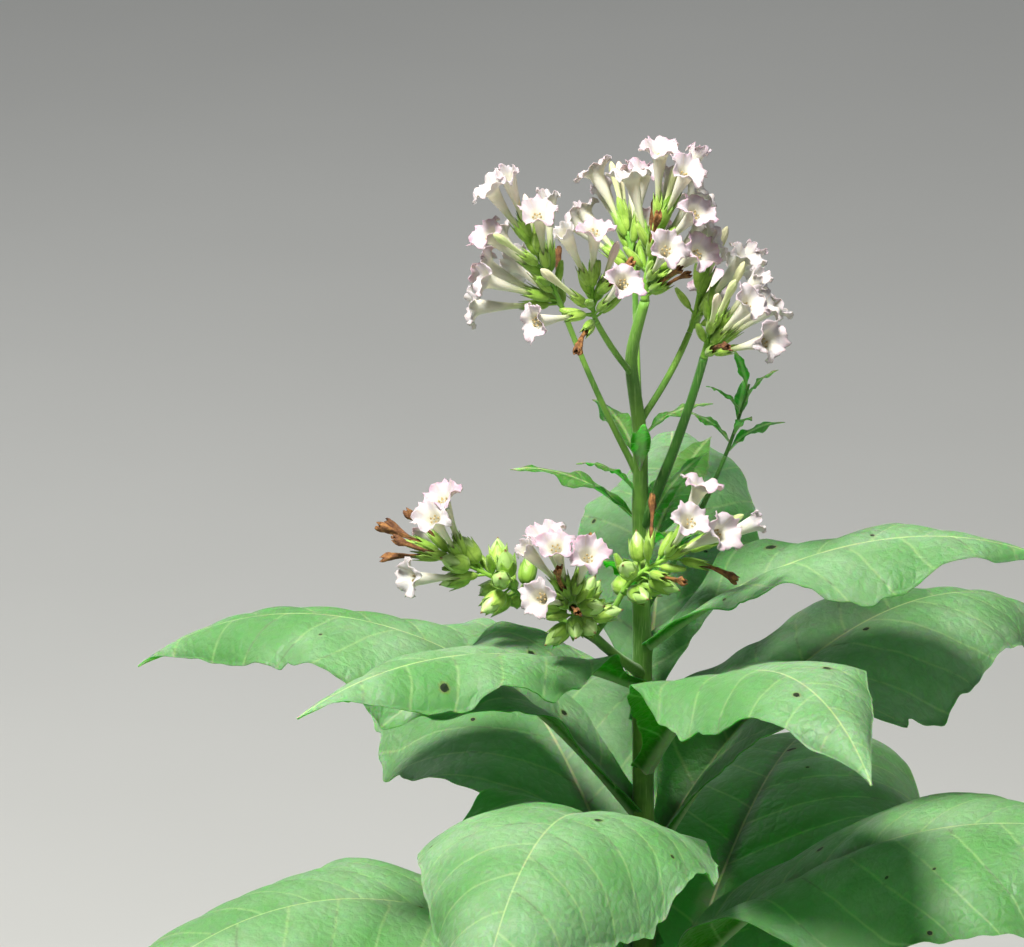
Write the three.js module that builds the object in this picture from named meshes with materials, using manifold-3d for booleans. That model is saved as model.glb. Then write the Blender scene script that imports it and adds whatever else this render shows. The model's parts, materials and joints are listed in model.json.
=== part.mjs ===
// A flowering tobacco plant as separate solids, in millimetres with +Z up.
// The origin is the centre of the flat cut under the stalk, at ground level. The front is towards -Y.
// The stalk carries the leaves in a spiral, the branches of the flower head, one low flowering shoot
// and one small leafy twig. Flowers, buds and seed pods of a branch are fused into one cluster.
import * as THREE from "three";
import { mergeVertices } from "three/addons/utils/BufferGeometryUtils.js";
import Module from "manifold-3d";

const wasm = await Module();
wasm.setup();

// Driving dimensions, in millimetres and degrees
const STALK_TOP = 1375; // the stalk's tip, inside the flower head
const NECK = 1211; // the last leafless stretch starts here
const CROWN_TOP = 1105; // foot of the highest full leaf
const LEAF_COUNT = 22;
const LEAF_LONGEST = 600;
const LEAF_HIGHEST = 330; // length of the highest full leaf
const LEAF_LOWEST = 430; // length of the leaf nearest the ground
const FIRST_GAP = 31; // height between the two highest leaves
const GAP_GROWTH = 1.6; // how much each gap further down is wider than the one above
const LEAF_TURN = -137.5; // the spiral's turn from one leaf to the next
const LEAF_START = 357.5; // azimuth of the highest full leaf
const CLEARANCE = 0.3; // between each solid and the one that carries it

const STALK_SIDES = 10;
const LIMB_SIDES = 6;
const PETALS = 5;
const RIB_STEPS = 40; // steps of the sum that gives a leaf's midrib

const GREEN_STALK = new THREE.MeshStandardMaterial({ color: 0x5f9a22, roughness: 0.6, metalness: 0 });
const GREEN_LEAF = new THREE.MeshStandardMaterial({ color: 0x6fa05c, roughness: 0.55, metalness: 0 });
const FLOWER_HEAD = new THREE.MeshStandardMaterial({ color: 0xf3ece2, roughness: 0.6, metalness: 0 });

// Small helpers
const radians = THREE.MathUtils.degToRad;
const mix = THREE.MathUtils.lerp;
const clamp01 = (t) => Math.min(1, Math.max(0, t));
const ease = (t) => clamp01(t) ** 2 * (3 - 2 * clamp01(t));
const up = new THREE.Vector3(0, 0, 1);

// The same numbers for the same seed on every run, each from 0 up to 1.
function seeded(seed) {
  let state = seed;
  return () => {
    state = (state * 16807) % 2147483647;
    return state / 2147483647;
  };
}

// The unit vector at an azimuth from +X towards +Y and a rise above the ground, both in degrees.
function heading(azimuth, rise) {
  const [a, r] = [radians(azimuth), radians(rise)];
  return new THREE.Vector3(Math.cos(r) * Math.cos(a), Math.cos(r) * Math.sin(a), Math.sin(r));
}

// A geometry as a manifold-3d solid, from its corner points alone.
function toSolid(geometry) {
  const bare = new THREE.BufferGeometry();
  bare.setAttribute("position", geometry.attributes.position.clone());
  bare.setIndex(geometry.index);
  const merged = mergeVertices(bare, 1e-3);
  const corners = [];
  for (let i = 0; i < merged.index.count; i += 3) {
    const [a, b, c] = [0, 1, 2].map((n) => merged.index.getX(i + n));
    if (a !== b && b !== c && c !== a) corners.push(a, b, c);
  }
  const mesh = new wasm.Mesh({
    numProp: 3,
    vertProperties: merged.attributes.position.array,
    triVerts: new Uint32Array(corners),
  });
  return new wasm.Manifold(mesh);
}

// The largest piece of a solid: loose scraps are dropped, and sealed hollows are filled.
function largestPiece(solid) {
  return solid.decompose().reduce((best, piece) => (piece.volume() > best.volume() ? piece : best));
}

function toMesh(name, solid, material) {
  const made = solid.getMesh();
  const geometry = new THREE.BufferGeometry();
  geometry.setAttribute("position", new THREE.BufferAttribute(made.vertProperties, 3));
  geometry.setIndex(new THREE.BufferAttribute(made.triVerts, 1));
  geometry.computeVertexNormals();
  const mesh = new THREE.Mesh(geometry, material.clone());
  mesh.name = name;
  return mesh;
}

// Stalk: one tapering stem with a flared foot, a slight bow and a lean where it forks.
const STALK_BOW = 6;
const NECK_LEAN = -8;
const TIP_LEAN = 16;

function stalkCentre(z) {
  const bow = z < NECK ? STALK_BOW * Math.sin((Math.PI * z) / NECK) : 0;
  const lean = NECK_LEAN * ease((z - 1260) / 80) + TIP_LEAN * ease((z - 1320) / 90);
  const sway = z < NECK ? 0.6 * STALK_BOW * Math.sin((2 * Math.PI * z) / NECK) : 0;
  return new THREE.Vector3(bow + lean, sway, z);
}

function stalkRadius(z) {
  const taper = 3.8 + 10.7 * (1 - z / STALK_TOP) ** 0.75;
  const flare = 9 * Math.exp(-z / 16);
  return taper + flare;
}

// Ring heights lie closer together at the flared foot and at the bends of the neck.
function stalkHeights() {
  const foot = [0, 12, 28, 55, 110];
  const shaft = [300, 500, 700, 900, 1060];
  const neck = [NECK, 1280, 1310, 1335, 1355, STALK_TOP];
  return [...foot, ...shaft, ...neck];
}

function stalkSolid(grown) {
  const heights = stalkHeights();
  const geometry = new THREE.CylinderGeometry(1, 1, 1, STALK_SIDES, heights.length - 1);
  const position = geometry.attributes.position;
  for (let i = 0; i < position.count; i++) {
    const ring = Math.round((position.getY(i) + 0.5) * (heights.length - 1));
    const centre = stalkCentre(heights[ring]);
    const radius = stalkRadius(heights[ring]) + grown;
    const across = centre.x + radius * position.getX(i);
    position.setXYZ(i, across, centre.y - radius * position.getZ(i), centre.z);
  }
  return toSolid(geometry);
}

// Limbs: each is one round stem that tapers along a curve from its parent to its tip.
// foot and end are radii, and bow is how far the stem swings outwards half way.
const LIMBS = {
  branch_left: { parent: "stalk", from: 1236, tip: [-56, -6, 1366], foot: 2.6, end: 2.1, bow: 5 },
  branch_right: { parent: "stalk", from: 1196, tip: [46, -15, 1336], foot: 4.3, end: 3.2, bow: 6 },
  branch_right_inner: { parent: "stalk", from: 1280, tip: [36, 24, 1342], foot: 2.7, end: 2.2, bow: 7 },
  branch_front: { parent: "stalk", from: 1318, tip: [-33, -34, 1370], foot: 2.5, end: 2.1, bow: 4 },
  branch_back: { parent: "stalk", from: 1258, tip: [-4, 52, 1372], foot: 2.8, end: 2.2, bow: 6 },
  low_shoot: { parent: "stalk", from: 1082, tip: [-46, -84, 1156], foot: 4.4, end: 3.3, bow: 9 },
  low_fork_left: { parent: "low_shoot", from: 0.62, tip: [-82, -56, 1162], foot: 2.6, end: 2.1, bow: 3 },
  low_fork_right: { parent: "low_shoot", from: 0.74, tip: [-14, -66, 1170], foot: 2.7, end: 2.1, bow: 3 },
  leafy_twig: { parent: "stalk", from: 1128, tip: [64, 48, 1236], foot: 2.6, end: 1.6, bow: 10 },
};

function limbStart(limb) {
  if (limb.parent === "stalk") return stalkCentre(limb.from);
  return limbCurve(LIMBS[limb.parent]).getPoint(limb.from);
}

function limbCurve(limb) {
  const start = limbStart(limb);
  const tip = new THREE.Vector3(...limb.tip);
  const outward = new THREE.Vector3(tip.x - start.x, tip.y - start.y, 0).normalize();
  const half = start.clone().lerp(tip, 0.5).addScaledVector(outward, limb.bow);
  return new THREE.QuadraticBezierCurve3(start, half, tip);
}

function limbSolid(limb, grown = 0, steps = 5) {
  const curve = limbCurve(limb);
  const geometry = new THREE.CylinderGeometry(1, 1, 1, LIMB_SIDES, steps);
  const position = geometry.attributes.position;
  for (let i = 0; i < position.count; i++) {
    const share = position.getY(i) + 0.5;
    const along = curve.getTangent(share);
    const side = new THREE.Vector3().crossVectors(along, up).normalize();
    const over = new THREE.Vector3().crossVectors(side, along);
    const radius = mix(limb.foot, limb.end, share) + grown;
    const point = curve.getPoint(share);
    point.addScaledVector(side, radius * position.getX(i));
    point.addScaledVector(over, radius * position.getZ(i));
    position.setXYZ(i, point.x, point.y, point.z);
  }
  return toSolid(geometry);
}

// Each limb is cut clear of the stem that it leaves.
function limbNode(limb, grownStalk) {
  const parent = limb.parent === "stalk" ? grownStalk : limbSolid(LIMBS[limb.parent], CLEARANCE);
  return largestPiece(limbSolid(limb).subtract(parent));
}

// Leaves: a blade on a midrib that rises from the stalk and arches over. Its two halves fold up
// near the foot and roll down towards the margin, which is wavy.
const HALF_WIDTH_SHARE = 0.235; // a full leaf's half width as a share of its length
const WING_SHARE = 0.15; // the winged foot's half width as a share of the blade's
const TIP_SHARE = 0.012;
const THICKNESS_SHARE = 0.01;
const THINNEST = 0.9;
const MARGIN_WAVES = 2.6;
const WAVE_SHARE = 0.036; // the margin's wave height as a share of the length
const LEAN_WIDTH_SHARE = 0.03; // a narrower blade than this has more upright sides

// Where a leaf of the stalk starts: inside it, so that the cut leaves a close fit.
function stalkRoot(z, azimuth) {
  return stalkCentre(z).addScaledVector(heading(azimuth, 0), 0.6 * stalkRadius(z));
}

// The whole leaves, from the highest down. The two highest are lower than the rule gives: one is
// pushed down by the low shoot, and the other is short and spreads wide.
function fullLeaves() {
  const random = seeded(71);
  const spread = (range) => (2 * random() - 1) * range;
  const lowered = [14, 26];
  return Array.from({ length: LEAF_COUNT }, (_, k) => {
    const down = k / (LEAF_COUNT - 1);
    const longer = mix(LEAF_HIGHEST, LEAF_LONGEST, ease(down / 0.45));
    const shorter = (LEAF_LONGEST - LEAF_LOWEST) * clamp01((down - 0.5) / 0.5) ** 1.4;
    const z = CROWN_TOP - k * FIRST_GAP - (GAP_GROWTH * k * (k - 1)) / 2;
    const azimuth = LEAF_START + LEAF_TURN * k + spread(5);
    return {
      name: `leaf_${String(k + 1).padStart(2, "0")}`,
      root: stalkRoot(z, azimuth),
      azimuth,
      length: (longer - shorter) * (1 + spread(0.04)),
      halfShare: HALF_WIDTH_SHARE * mix(0.86, 1.06, ease(down * 2)),
      rise: mix(52, 30, ease((down - 0.35) / 0.65)) + spread(4) - (lowered[k] ?? 0),
      droop: mix(-26, -64, ease(down / 0.35)) + 16 * ease((down - 0.65) / 0.35) + spread(7),
      swerve: spread(16),
      roll: spread(14),
      fold: 30 + spread(8),
      curl: 62 + spread(14),
      phase: random() * 2 * Math.PI,
      across: 4,
      along: 10,
    };
  });
}

// A small narrow leaf from a given point.
function smallLeaf(name, root, azimuth, length, rise) {
  return {
    name,
    root,
    azimuth,
    length,
    halfShare: 0.13,
    rise,
    droop: rise - 50,
    swerve: 8,
    roll: 6,
    fold: 32,
    curl: 40,
    phase: azimuth,
    across: 2,
    along: 4,
  };
}

// Small leaves stand under each branch of the flower head and up the neck, as height on the stalk,
// azimuth, length and rise.
const SMALL_LEAVES = [
  [1206, 176, 104, 42],
  [1228, 206, 62, 50],
  [1243, 268, 62, 76],
  [1184, 318, 92, 36],
  [1272, 8, 58, 40],
  [1248, 112, 84, 38],
  [1166, 62, 150, 44],
  [1142, 232, 74, 62],
  [1150, 338, 66, 70],
  [1192, 24, 80, 66],
].map(([z, azimuth, length, rise], i) =>
  smallLeaf(`small_leaf_${i + 1}`, stalkRoot(z, azimuth), azimuth, length, rise),
);

// Points of the midrib with the rise and azimuth at each, summed in RIB_STEPS steps.
function midrib(leaf) {
  const point = leaf.root.clone();
  const angles = (u) => ({
    rise: leaf.rise + (leaf.droop - leaf.rise) * u ** 1.5,
    azimuth: leaf.azimuth + leaf.swerve * u,
  });
  const stations = [{ point: point.clone(), ...angles(0) }];
  for (let i = 0; i < RIB_STEPS; i++) {
    const middle = angles((i + 0.5) / RIB_STEPS);
    point.addScaledVector(heading(middle.azimuth, middle.rise), leaf.length / RIB_STEPS);
    stations.push({ point: point.clone(), ...angles((i + 1) / RIB_STEPS) });
  }
  return stations;
}

// Half width at a share u of the length: a narrow wing at the foot, widest near the middle.
function halfWidth(leaf, u) {
  const wing = WING_SHARE * (1 - u) ** 2;
  const blade = Math.sin(Math.PI * clamp01((u - 0.04) / 0.96) ** 0.9) ** 1.2;
  return leaf.length * leaf.halfShare * Math.hypot(wing, blade, TIP_SHARE);
}

// The point on the blade's middle surface at u along and v across, with the way up from it there.
function bladePoint(leaf, stations, u, v) {
  const station = stations[Math.round(u * RIB_STEPS)];
  const along = heading(station.azimuth, station.rise);
  const right = heading(station.azimuth - 90, 0).applyAxisAngle(along, radians(leaf.roll * u));
  const over = new THREE.Vector3().crossVectors(right, along);
  const fold = radians(leaf.fold * (1 - ease(u / 0.75)) + 4);
  const curl = radians(-leaf.curl * ease(u / 0.5));
  const share = Math.abs(v);
  const width = halfWidth(leaf, u);
  const turned = fold + curl * share;
  const out = curl === 0 ? Math.cos(fold) * share : (Math.sin(turned) - Math.sin(fold)) / curl;
  const lift = curl === 0 ? Math.sin(fold) * share : (Math.cos(fold) - Math.cos(turned)) / curl;
  const wave = Math.sin(2 * Math.PI * MARGIN_WAVES * u + leaf.phase + (v < 0 ? 1.9 : 0));
  const ruffle = leaf.length * WAVE_SHARE * share ** 2 * ease(u / 0.35) * (1 - u ** 4) * wave;
  const point = station.point.clone();
  point.addScaledVector(right, Math.sign(v) * width * out);
  point.addScaledVector(over, width * lift + ruffle);
  const lean = turned * Math.min(1, width / (leaf.length * LEAN_WIDTH_SHARE));
  const normal = over.clone().multiplyScalar(Math.cos(lean));
  normal.addScaledVector(right, -Math.sign(v) * Math.sin(lean));
  return { point, normal };
}

// The underside's squares are split along the same diagonals as those above them, so that the two
// walls stay one thickness apart where the blade twists.
function matchDiagonals(geometry) {
  const { start, count } = geometry.groups[5];
  for (let i = start; i < start + count; i += 6) {
    const [a, b, d, , c] = [0, 1, 2, 3, 4].map((n) => geometry.index.getX(i + n));
    [a, b, c, a, c, d].forEach((corner, n) => geometry.index.setX(i + n, corner));
  }
}

function leafSolid(leaf) {
  const geometry = new THREE.BoxGeometry(2, 1, 1, leaf.across, leaf.along, 1);
  matchDiagonals(geometry);
  const position = geometry.attributes.position;
  const stations = midrib(leaf);
  for (let i = 0; i < position.count; i++) {
    const v = position.getX(i);
    const u = position.getY(i) + 0.5;
    const { point, normal } = bladePoint(leaf, stations, u, v);
    const rib = v === 0 ? 0.012 * (1 - u) : 0;
    const thickness = Math.max(leaf.length * (THICKNESS_SHARE + rib), THINNEST);
    point.addScaledVector(normal, thickness * (position.getZ(i) - 0.5));
    position.setXYZ(i, point.x, point.y, point.z);
  }
  return toSolid(geometry);
}

// Flowers: each kind is a profile of distances along its own axis and radii, from the twig that
// carries it to its tip. rim gives the distance and radius of the spread petals.
const FOOT = [-2, 0];
const CALYX = [[9, 1.2], [18, 4.1], [27, 2.4]];
const KINDS = {
  open: { sides: PETALS, profile: [FOOT, ...CALYX, [57, 5], [70, 16.5], [65, 0]], rim: [70, 16.5] },
  half: { sides: PETALS, profile: [FOOT, ...CALYX, [57, 4.4], [71, 9.5], [66, 0]], rim: [71, 9.5] },
  bud: { sides: 3, profile: [FOOT, ...CALYX, [57, 3.4], [68, 0]] },
  young: { sides: 3, profile: [FOOT, [7, 1.2], [16, 3.4], [29, 0]] },
  withered: { sides: 3, profile: [FOOT, ...CALYX, [53, 3.1], [59, 0]] },
  pod: { sides: 5, profile: [FOOT, [10, 1.5], [16, 7.2], [26, 6.2], [37, 0]] },
};
const CLUSTER_TURN = 137.5;
const TRIES = 40;
const FOOT_TILT = 66; // degrees between a cluster's axis and the flowers at its foot
const POD_FOOT_TILT = 92; // the same where pods stand at the foot
const TIP_TILT = 8;
const TILT_SPREAD = 18;
const DROOP_LIMIT = -0.12; // the lowest rise of a flower, as a sine
const POD_DROOP_LIMIT = -0.6;

// A cluster starts at its limb's tip. kinds lists its flowers from the foot of its axis to the tip,
// as pairs of a kind and how many of it.
const CLUSTERS = {
  head_top: {
    limb: "stalk", lean: [0.3, -0.1, 1], length: 66, seed: 604,
    kinds: [
      ["withered", 2], ["open", 5], ["young", 6], ["withered", 2], ["open", 3], ["half", 1],
      ["young", 4], ["bud", 2], ["open", 2], ["half", 1], ["young", 3],
    ],
  },
  head_left: {
    limb: "branch_left", lean: [-0.4, -0.1, 0.85], length: 60, seed: 1099,
    kinds: [
      ["withered", 1], ["open", 5], ["young", 4], ["half", 1], ["open", 2], ["bud", 2],
      ["young", 4], ["open", 1], ["half", 1],
    ],
  },
  head_right: {
    limb: "branch_right", lean: [0.1, -0.05, 0.95], length: 30, seed: 1792,
    kinds: [["withered", 1], ["open", 4], ["young", 3], ["half", 1], ["bud", 3], ["young", 6]],
  },
  head_right_inner: {
    limb: "branch_right_inner", lean: [0.15, 0.35, 0.9], length: 30, seed: 887,
    kinds: [["withered", 1], ["open", 4], ["young", 2], ["half", 1], ["bud", 2], ["young", 3]],
  },
  head_front: {
    limb: "branch_front", lean: [0.05, -0.15, 1], length: 34, seed: 882,
    kinds: [
      ["withered", 1], ["young", 3], ["open", 2], ["bud", 2], ["young", 4], ["withered", 1],
      ["open", 1], ["half", 1], ["young", 3],
    ],
  },
  head_back: {
    limb: "branch_back", lean: [-0.2, 0.4, 0.9], length: 38, seed: 936,
    kinds: [
      ["withered", 1], ["open", 4], ["young", 3], ["half", 1], ["open", 3], ["bud", 2],
      ["young", 2],
    ],
  },
  low_middle: {
    limb: "low_shoot", lean: [-0.05, -0.5, 0.7], length: 36, seed: 1959,
    kinds: [
      ["pod", 6], ["young", 3], ["pod", 4], ["open", 2], ["young", 2], ["withered", 3], ["open", 2],
      ["half", 1], ["young", 2],
    ],
  },
  low_left: {
    limb: "low_fork_left", lean: [-0.85, -0.05, 0.4], length: 82, seed: 258,
    kinds: [
      ["pod", 4], ["young", 2], ["pod", 5], ["young", 2], ["open", 2], ["pod", 3], ["young", 2],
      ["open", 2], ["withered", 5], ["young", 3],
    ],
  },
  low_right: {
    limb: "low_fork_right", lean: [0.88, -0.1, 0.32], length: 64, seed: 91,
    kinds: [
      ["pod", 3], ["young", 2], ["pod", 4], ["withered", 2], ["young", 3], ["open", 3],
      ["withered", 1], ["bud", 1], ["half", 1], ["young", 2],
    ],
  },
};

function limbTip(name) {
  if (name === "stalk") return { point: stalkCentre(STALK_TOP), along: up.clone() };
  const curve = limbCurve(LIMBS[name]);
  return { point: curve.getPoint(1), along: curve.getTangent(1) };
}

// The axis of a cluster: it leaves its limb's tip straight on and bends towards its lean.
function clusterAxis(cluster) {
  const { point, along } = limbTip(cluster.limb);
  const start = point.clone().addScaledVector(along, CLEARANCE);
  const bend = start.clone().addScaledVector(along, cluster.length * 0.35);
  const lean = new THREE.Vector3(...cluster.lean).normalize();
  const end = bend.clone().addScaledVector(lean, cluster.length * 0.65);
  return new THREE.QuadraticBezierCurve3(start, bend, end);
}

function clusterHeart(cluster) {
  return clusterAxis(cluster).getPoint(0.7);
}

// Where one flower stands: its root on the axis, its own way and its turn about that way.
function flowerAt(axis, kind, share, turn, tilt, roll) {
  const along = axis.getTangent(share);
  const side = new THREE.Vector3().crossVectors(along, new THREE.Vector3(0.9, 0.3, 0.1)).normalize();
  const out = side.applyAxisAngle(along, radians(turn));
  const way = along.clone().multiplyScalar(Math.cos(radians(tilt)));
  way.addScaledVector(out, Math.sin(radians(tilt)));
  return { kind, root: axis.getPoint(share), way, roll };
}

// The turn that carries a profile drawn about +Y to a flower's own axis.
function flowerFrame(flower) {
  const spin = new THREE.Quaternion().setFromAxisAngle(new THREE.Vector3(0, 1, 0), flower.roll);
  const swing = new THREE.Quaternion().setFromUnitVectors(new THREE.Vector3(0, 1, 0), flower.way);
  return swing.multiply(spin);
}

// Points of a flower with the room that each needs: along its axis, and round its rim.
function flowerSamples(flower) {
  const { profile, rim } = KINDS[flower.kind];
  const samples = profile.slice(2).map(([distance, radius]) => ({
    point: flower.root.clone().addScaledVector(flower.way, distance),
    room: rim && distance === rim[0] ? 0.62 * radius : radius,
  }));
  if (rim) {
    const frame = flowerFrame(flower);
    for (let i = 0; i < PETALS; i++) {
      const angle = (2 * Math.PI * i) / PETALS;
      const corner = new THREE.Vector3(rim[1] * Math.sin(angle), rim[0], rim[1] * Math.cos(angle));
      samples.push({ point: corner.applyQuaternion(frame).add(flower.root), room: 0.8 });
    }
  }
  return samples;
}

// Straight rods along a row of points.
function rodsAlong(points, radiusAt) {
  return points.slice(1).map((point, i) => ({
    rod: new THREE.Line3(points[i], point),
    radius: radiusAt(i),
  }));
}

// What flowers keep clear of: the stalk's upper part, the limbs and the small leaves.
function obstacles() {
  const heights = stalkHeights().filter((z) => z >= 1000);
  const rods = rodsAlong(heights.map(stalkCentre), (i) => stalkRadius(heights[i]));
  for (const limb of Object.values(LIMBS)) {
    rods.push(...rodsAlong(limbCurve(limb).getPoints(6), () => limb.foot));
  }
  for (const leaf of SMALL_LEAVES) {
    const points = midrib(leaf).filter((_, i) => i % 10 === 0).map((station) => station.point);
    rods.push(...rodsAlong(points, () => leaf.length * leaf.halfShare));
  }
  return rods;
}

// Each cluster keeps to its own side of the plane half way between its heart and every other's.
function inOwnCell(samples, name) {
  const heart = clusterHeart(CLUSTERS[name]);
  return Object.keys(CLUSTERS).every((other) => {
    if (other === name) return true;
    const away = clusterHeart(CLUSTERS[other]).sub(heart);
    const half = away.length() / 2;
    away.normalize();
    return samples.every(({ point, room }) => point.clone().sub(heart).dot(away) + room < half - 0.6);
  });
}

function clearOfRods(samples, rods) {
  const nearest = new THREE.Vector3();
  return samples.every(({ point, room }) =>
    rods.every(({ rod, radius }) => {
      rod.closestPointToPoint(point, true, nearest);
      return nearest.distanceTo(point) > room + radius + 0.8;
    }),
  );
}

// The first sample lies among the crowded feet, so it may touch.
function clearOfFlowers(samples, placed) {
  return placed.every((other) =>
    samples.every((mine, i) =>
      other.samples.every((theirs, j) => {
        if (i < 1 || j < 1) return true;
        return mine.point.distanceTo(theirs.point) > mine.room + theirs.room;
      }),
    ),
  );
}

function hasRoom(flower, name, rods, placed) {
  const lowest = flower.kind === "pod" ? POD_DROOP_LIMIT : DROOP_LIMIT;
  return (
    flower.way.z > lowest &&
    inOwnCell(flower.samples, name) &&
    clearOfRods(flower.samples, rods) &&
    clearOfFlowers(flower.samples, placed)
  );
}

// Flowers turn round the axis in a spiral. One that finds no room in TRIES goes is left out.
function growFlowers(name, rods) {
  const cluster = CLUSTERS[name];
  const random = seeded(cluster.seed);
  const axis = clusterAxis(cluster);
  const order = cluster.kinds.flatMap(([kind, count]) => Array(count).fill(kind));
  const footTilt = order.includes("pod") ? POD_FOOT_TILT : FOOT_TILT;
  const placed = [];
  order.forEach((kind, i) => {
    const share = 0.06 + (0.94 * i) / (order.length - 1);
    const tilt = mix(footTilt, TIP_TILT, share);
    for (let attempt = 0; attempt < TRIES; attempt++) {
      const wander = attempt < 3 ? 25 : 180;
      const turn = CLUSTER_TURN * i + (2 * random() - 1) * wander;
      const lean = tilt + (2 * random() - 1) * TILT_SPREAD;
      const flower = flowerAt(axis, kind, share, turn, lean, random() * 2 * Math.PI);
      flower.samples = flowerSamples(flower);
      if (hasRoom(flower, name, rods, placed)) {
        placed.push(flower);
        break;
      }
    }
  });
  return placed;
}

function flowerSolid(flower) {
  const { profile, sides } = KINDS[flower.kind];
  const points = profile.map(([distance, radius]) => new THREE.Vector2(radius, distance));
  const geometry = new THREE.LatheGeometry(points, sides);
  geometry.applyQuaternion(flowerFrame(flower));
  geometry.translate(...flower.root);
  return toSolid(geometry);
}

function clusterStem(cluster, foot) {
  const axis = clusterAxis(cluster);
  const geometry = new THREE.CylinderGeometry(1, 1, 1, 5, 3);
  const position = geometry.attributes.position;
  for (let i = 0; i < position.count; i++) {
    const share = position.getY(i) + 0.5;
    const along = axis.getTangent(share);
    const side = new THREE.Vector3().crossVectors(along, new THREE.Vector3(0.9, 0.3, 0.1)).normalize();
    const over = new THREE.Vector3().crossVectors(side, along);
    const radius = mix(foot, 1.5, share);
    const point = axis.getPoint(share);
    point.addScaledVector(side, radius * position.getX(i));
    point.addScaledVector(over, radius * position.getZ(i));
    position.setXYZ(i, point.x, point.y, point.z);
  }
  return toSolid(geometry);
}

function clusterSolid(name, rods) {
  const cluster = CLUSTERS[name];
  const foot = cluster.limb === "stalk" ? stalkRadius(STALK_TOP) * 0.9 : LIMBS[cluster.limb].end;
  const pieces = growFlowers(name, rods).map(flowerSolid);
  return largestPiece(pieces.reduce((sum, piece) => sum.add(piece), clusterStem(cluster, foot)));
}

// The leafy twig's tuft: narrow leaves in a spiral on a short stem that goes on from the twig.
const TUFT = { limb: "leafy_twig", lean: [0.25, -0.1, 1], length: 60, leaves: 7, leafLength: 52 };

function tuftLeaves() {
  const axis = clusterAxis(TUFT);
  return Array.from({ length: TUFT.leaves }, (_, i) => {
    const share = 0.12 + (0.83 * i) / (TUFT.leaves - 1);
    const length = TUFT.leafLength * (1 - 0.35 * share);
    const leaf = smallLeaf("", axis.getPoint(share), CLUSTER_TURN * i + 20, length, 38 + 34 * share);
    return { ...leaf, swerve: i % 2 ? 12 : -10 };
  });
}

function tuftSolid() {
  const stem = clusterStem(TUFT, LIMBS[TUFT.limb].end);
  return largestPiece(tuftLeaves().reduce((sum, leaf) => sum.add(leafSolid(leaf)), stem));
}

// The plant
const plant = new THREE.Group();
const grownStalk = stalkSolid(CLEARANCE);
const rods = obstacles();
plant.add(toMesh("stalk", stalkSolid(0), GREEN_STALK));
for (const [name, limb] of Object.entries(LIMBS)) {
  plant.add(toMesh(name, limbNode(limb, grownStalk), GREEN_STALK));
}
for (const leaf of [...fullLeaves(), ...SMALL_LEAVES]) {
  plant.add(toMesh(leaf.name, largestPiece(leafSolid(leaf).subtract(grownStalk)), GREEN_LEAF));
}
for (const name of Object.keys(CLUSTERS)) {
  plant.add(toMesh(name, clusterSolid(name, rods), FLOWER_HEAD));
}
plant.add(toMesh("leafy_twig_tuft", tuftSolid(), GREEN_LEAF));

export default plant;
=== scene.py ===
import json
import math

import bpy
import numpy as np
from mathutils import Matrix, Vector

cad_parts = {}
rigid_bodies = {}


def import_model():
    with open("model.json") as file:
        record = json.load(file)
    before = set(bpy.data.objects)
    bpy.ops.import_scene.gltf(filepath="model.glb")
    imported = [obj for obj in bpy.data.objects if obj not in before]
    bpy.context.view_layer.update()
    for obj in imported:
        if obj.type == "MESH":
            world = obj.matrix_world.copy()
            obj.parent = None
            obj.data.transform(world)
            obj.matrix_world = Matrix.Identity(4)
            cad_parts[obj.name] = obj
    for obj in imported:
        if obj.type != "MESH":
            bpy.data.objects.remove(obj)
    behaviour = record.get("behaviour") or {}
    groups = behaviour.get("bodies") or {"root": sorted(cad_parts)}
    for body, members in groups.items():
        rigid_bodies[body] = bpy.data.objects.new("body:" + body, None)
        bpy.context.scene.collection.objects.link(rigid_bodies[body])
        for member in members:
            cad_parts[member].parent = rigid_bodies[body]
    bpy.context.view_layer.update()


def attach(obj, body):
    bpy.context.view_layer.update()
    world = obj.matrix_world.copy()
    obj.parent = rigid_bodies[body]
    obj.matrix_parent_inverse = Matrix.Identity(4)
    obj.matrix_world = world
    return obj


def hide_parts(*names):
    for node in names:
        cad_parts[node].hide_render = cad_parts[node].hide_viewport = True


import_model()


# Camera, floor and light. The plant is seen through a long lens from 20 degrees above its flowers,
# so only its top 0.6 metres fill the picture. The floor is plain and pale, and one broad soft light
# stands overhead with two weaker ones beside it.
PICTURE_WIDTH = 1024 / 1350.0  # metres across the picture at the stalk
CAMERA_RISE = math.radians(20.0)
CAMERA_DISTANCE = 6.0
AIM = Vector((-0.095, 0.0, 1.240))
FLOOR_REACH = 30
SKY_COLOUR = (0.86, 0.9, 0.95, 1.0)
SKY_STRENGTH = 0.2

camera_data = bpy.data.cameras.new("camera")
camera_data.sensor_width = 36.0
camera_data.lens = 36.0 * CAMERA_DISTANCE / PICTURE_WIDTH
camera_data.clip_end = 200.0
camera = bpy.data.objects.new("camera", camera_data)
bpy.context.scene.collection.objects.link(camera)
bpy.context.scene.camera = camera
line_of_sight = Vector((0.0, math.cos(CAMERA_RISE), -math.sin(CAMERA_RISE)))
camera.location = AIM - line_of_sight * CAMERA_DISTANCE
camera.rotation_euler = line_of_sight.to_track_quat("-Z", "Y").to_euler()

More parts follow.
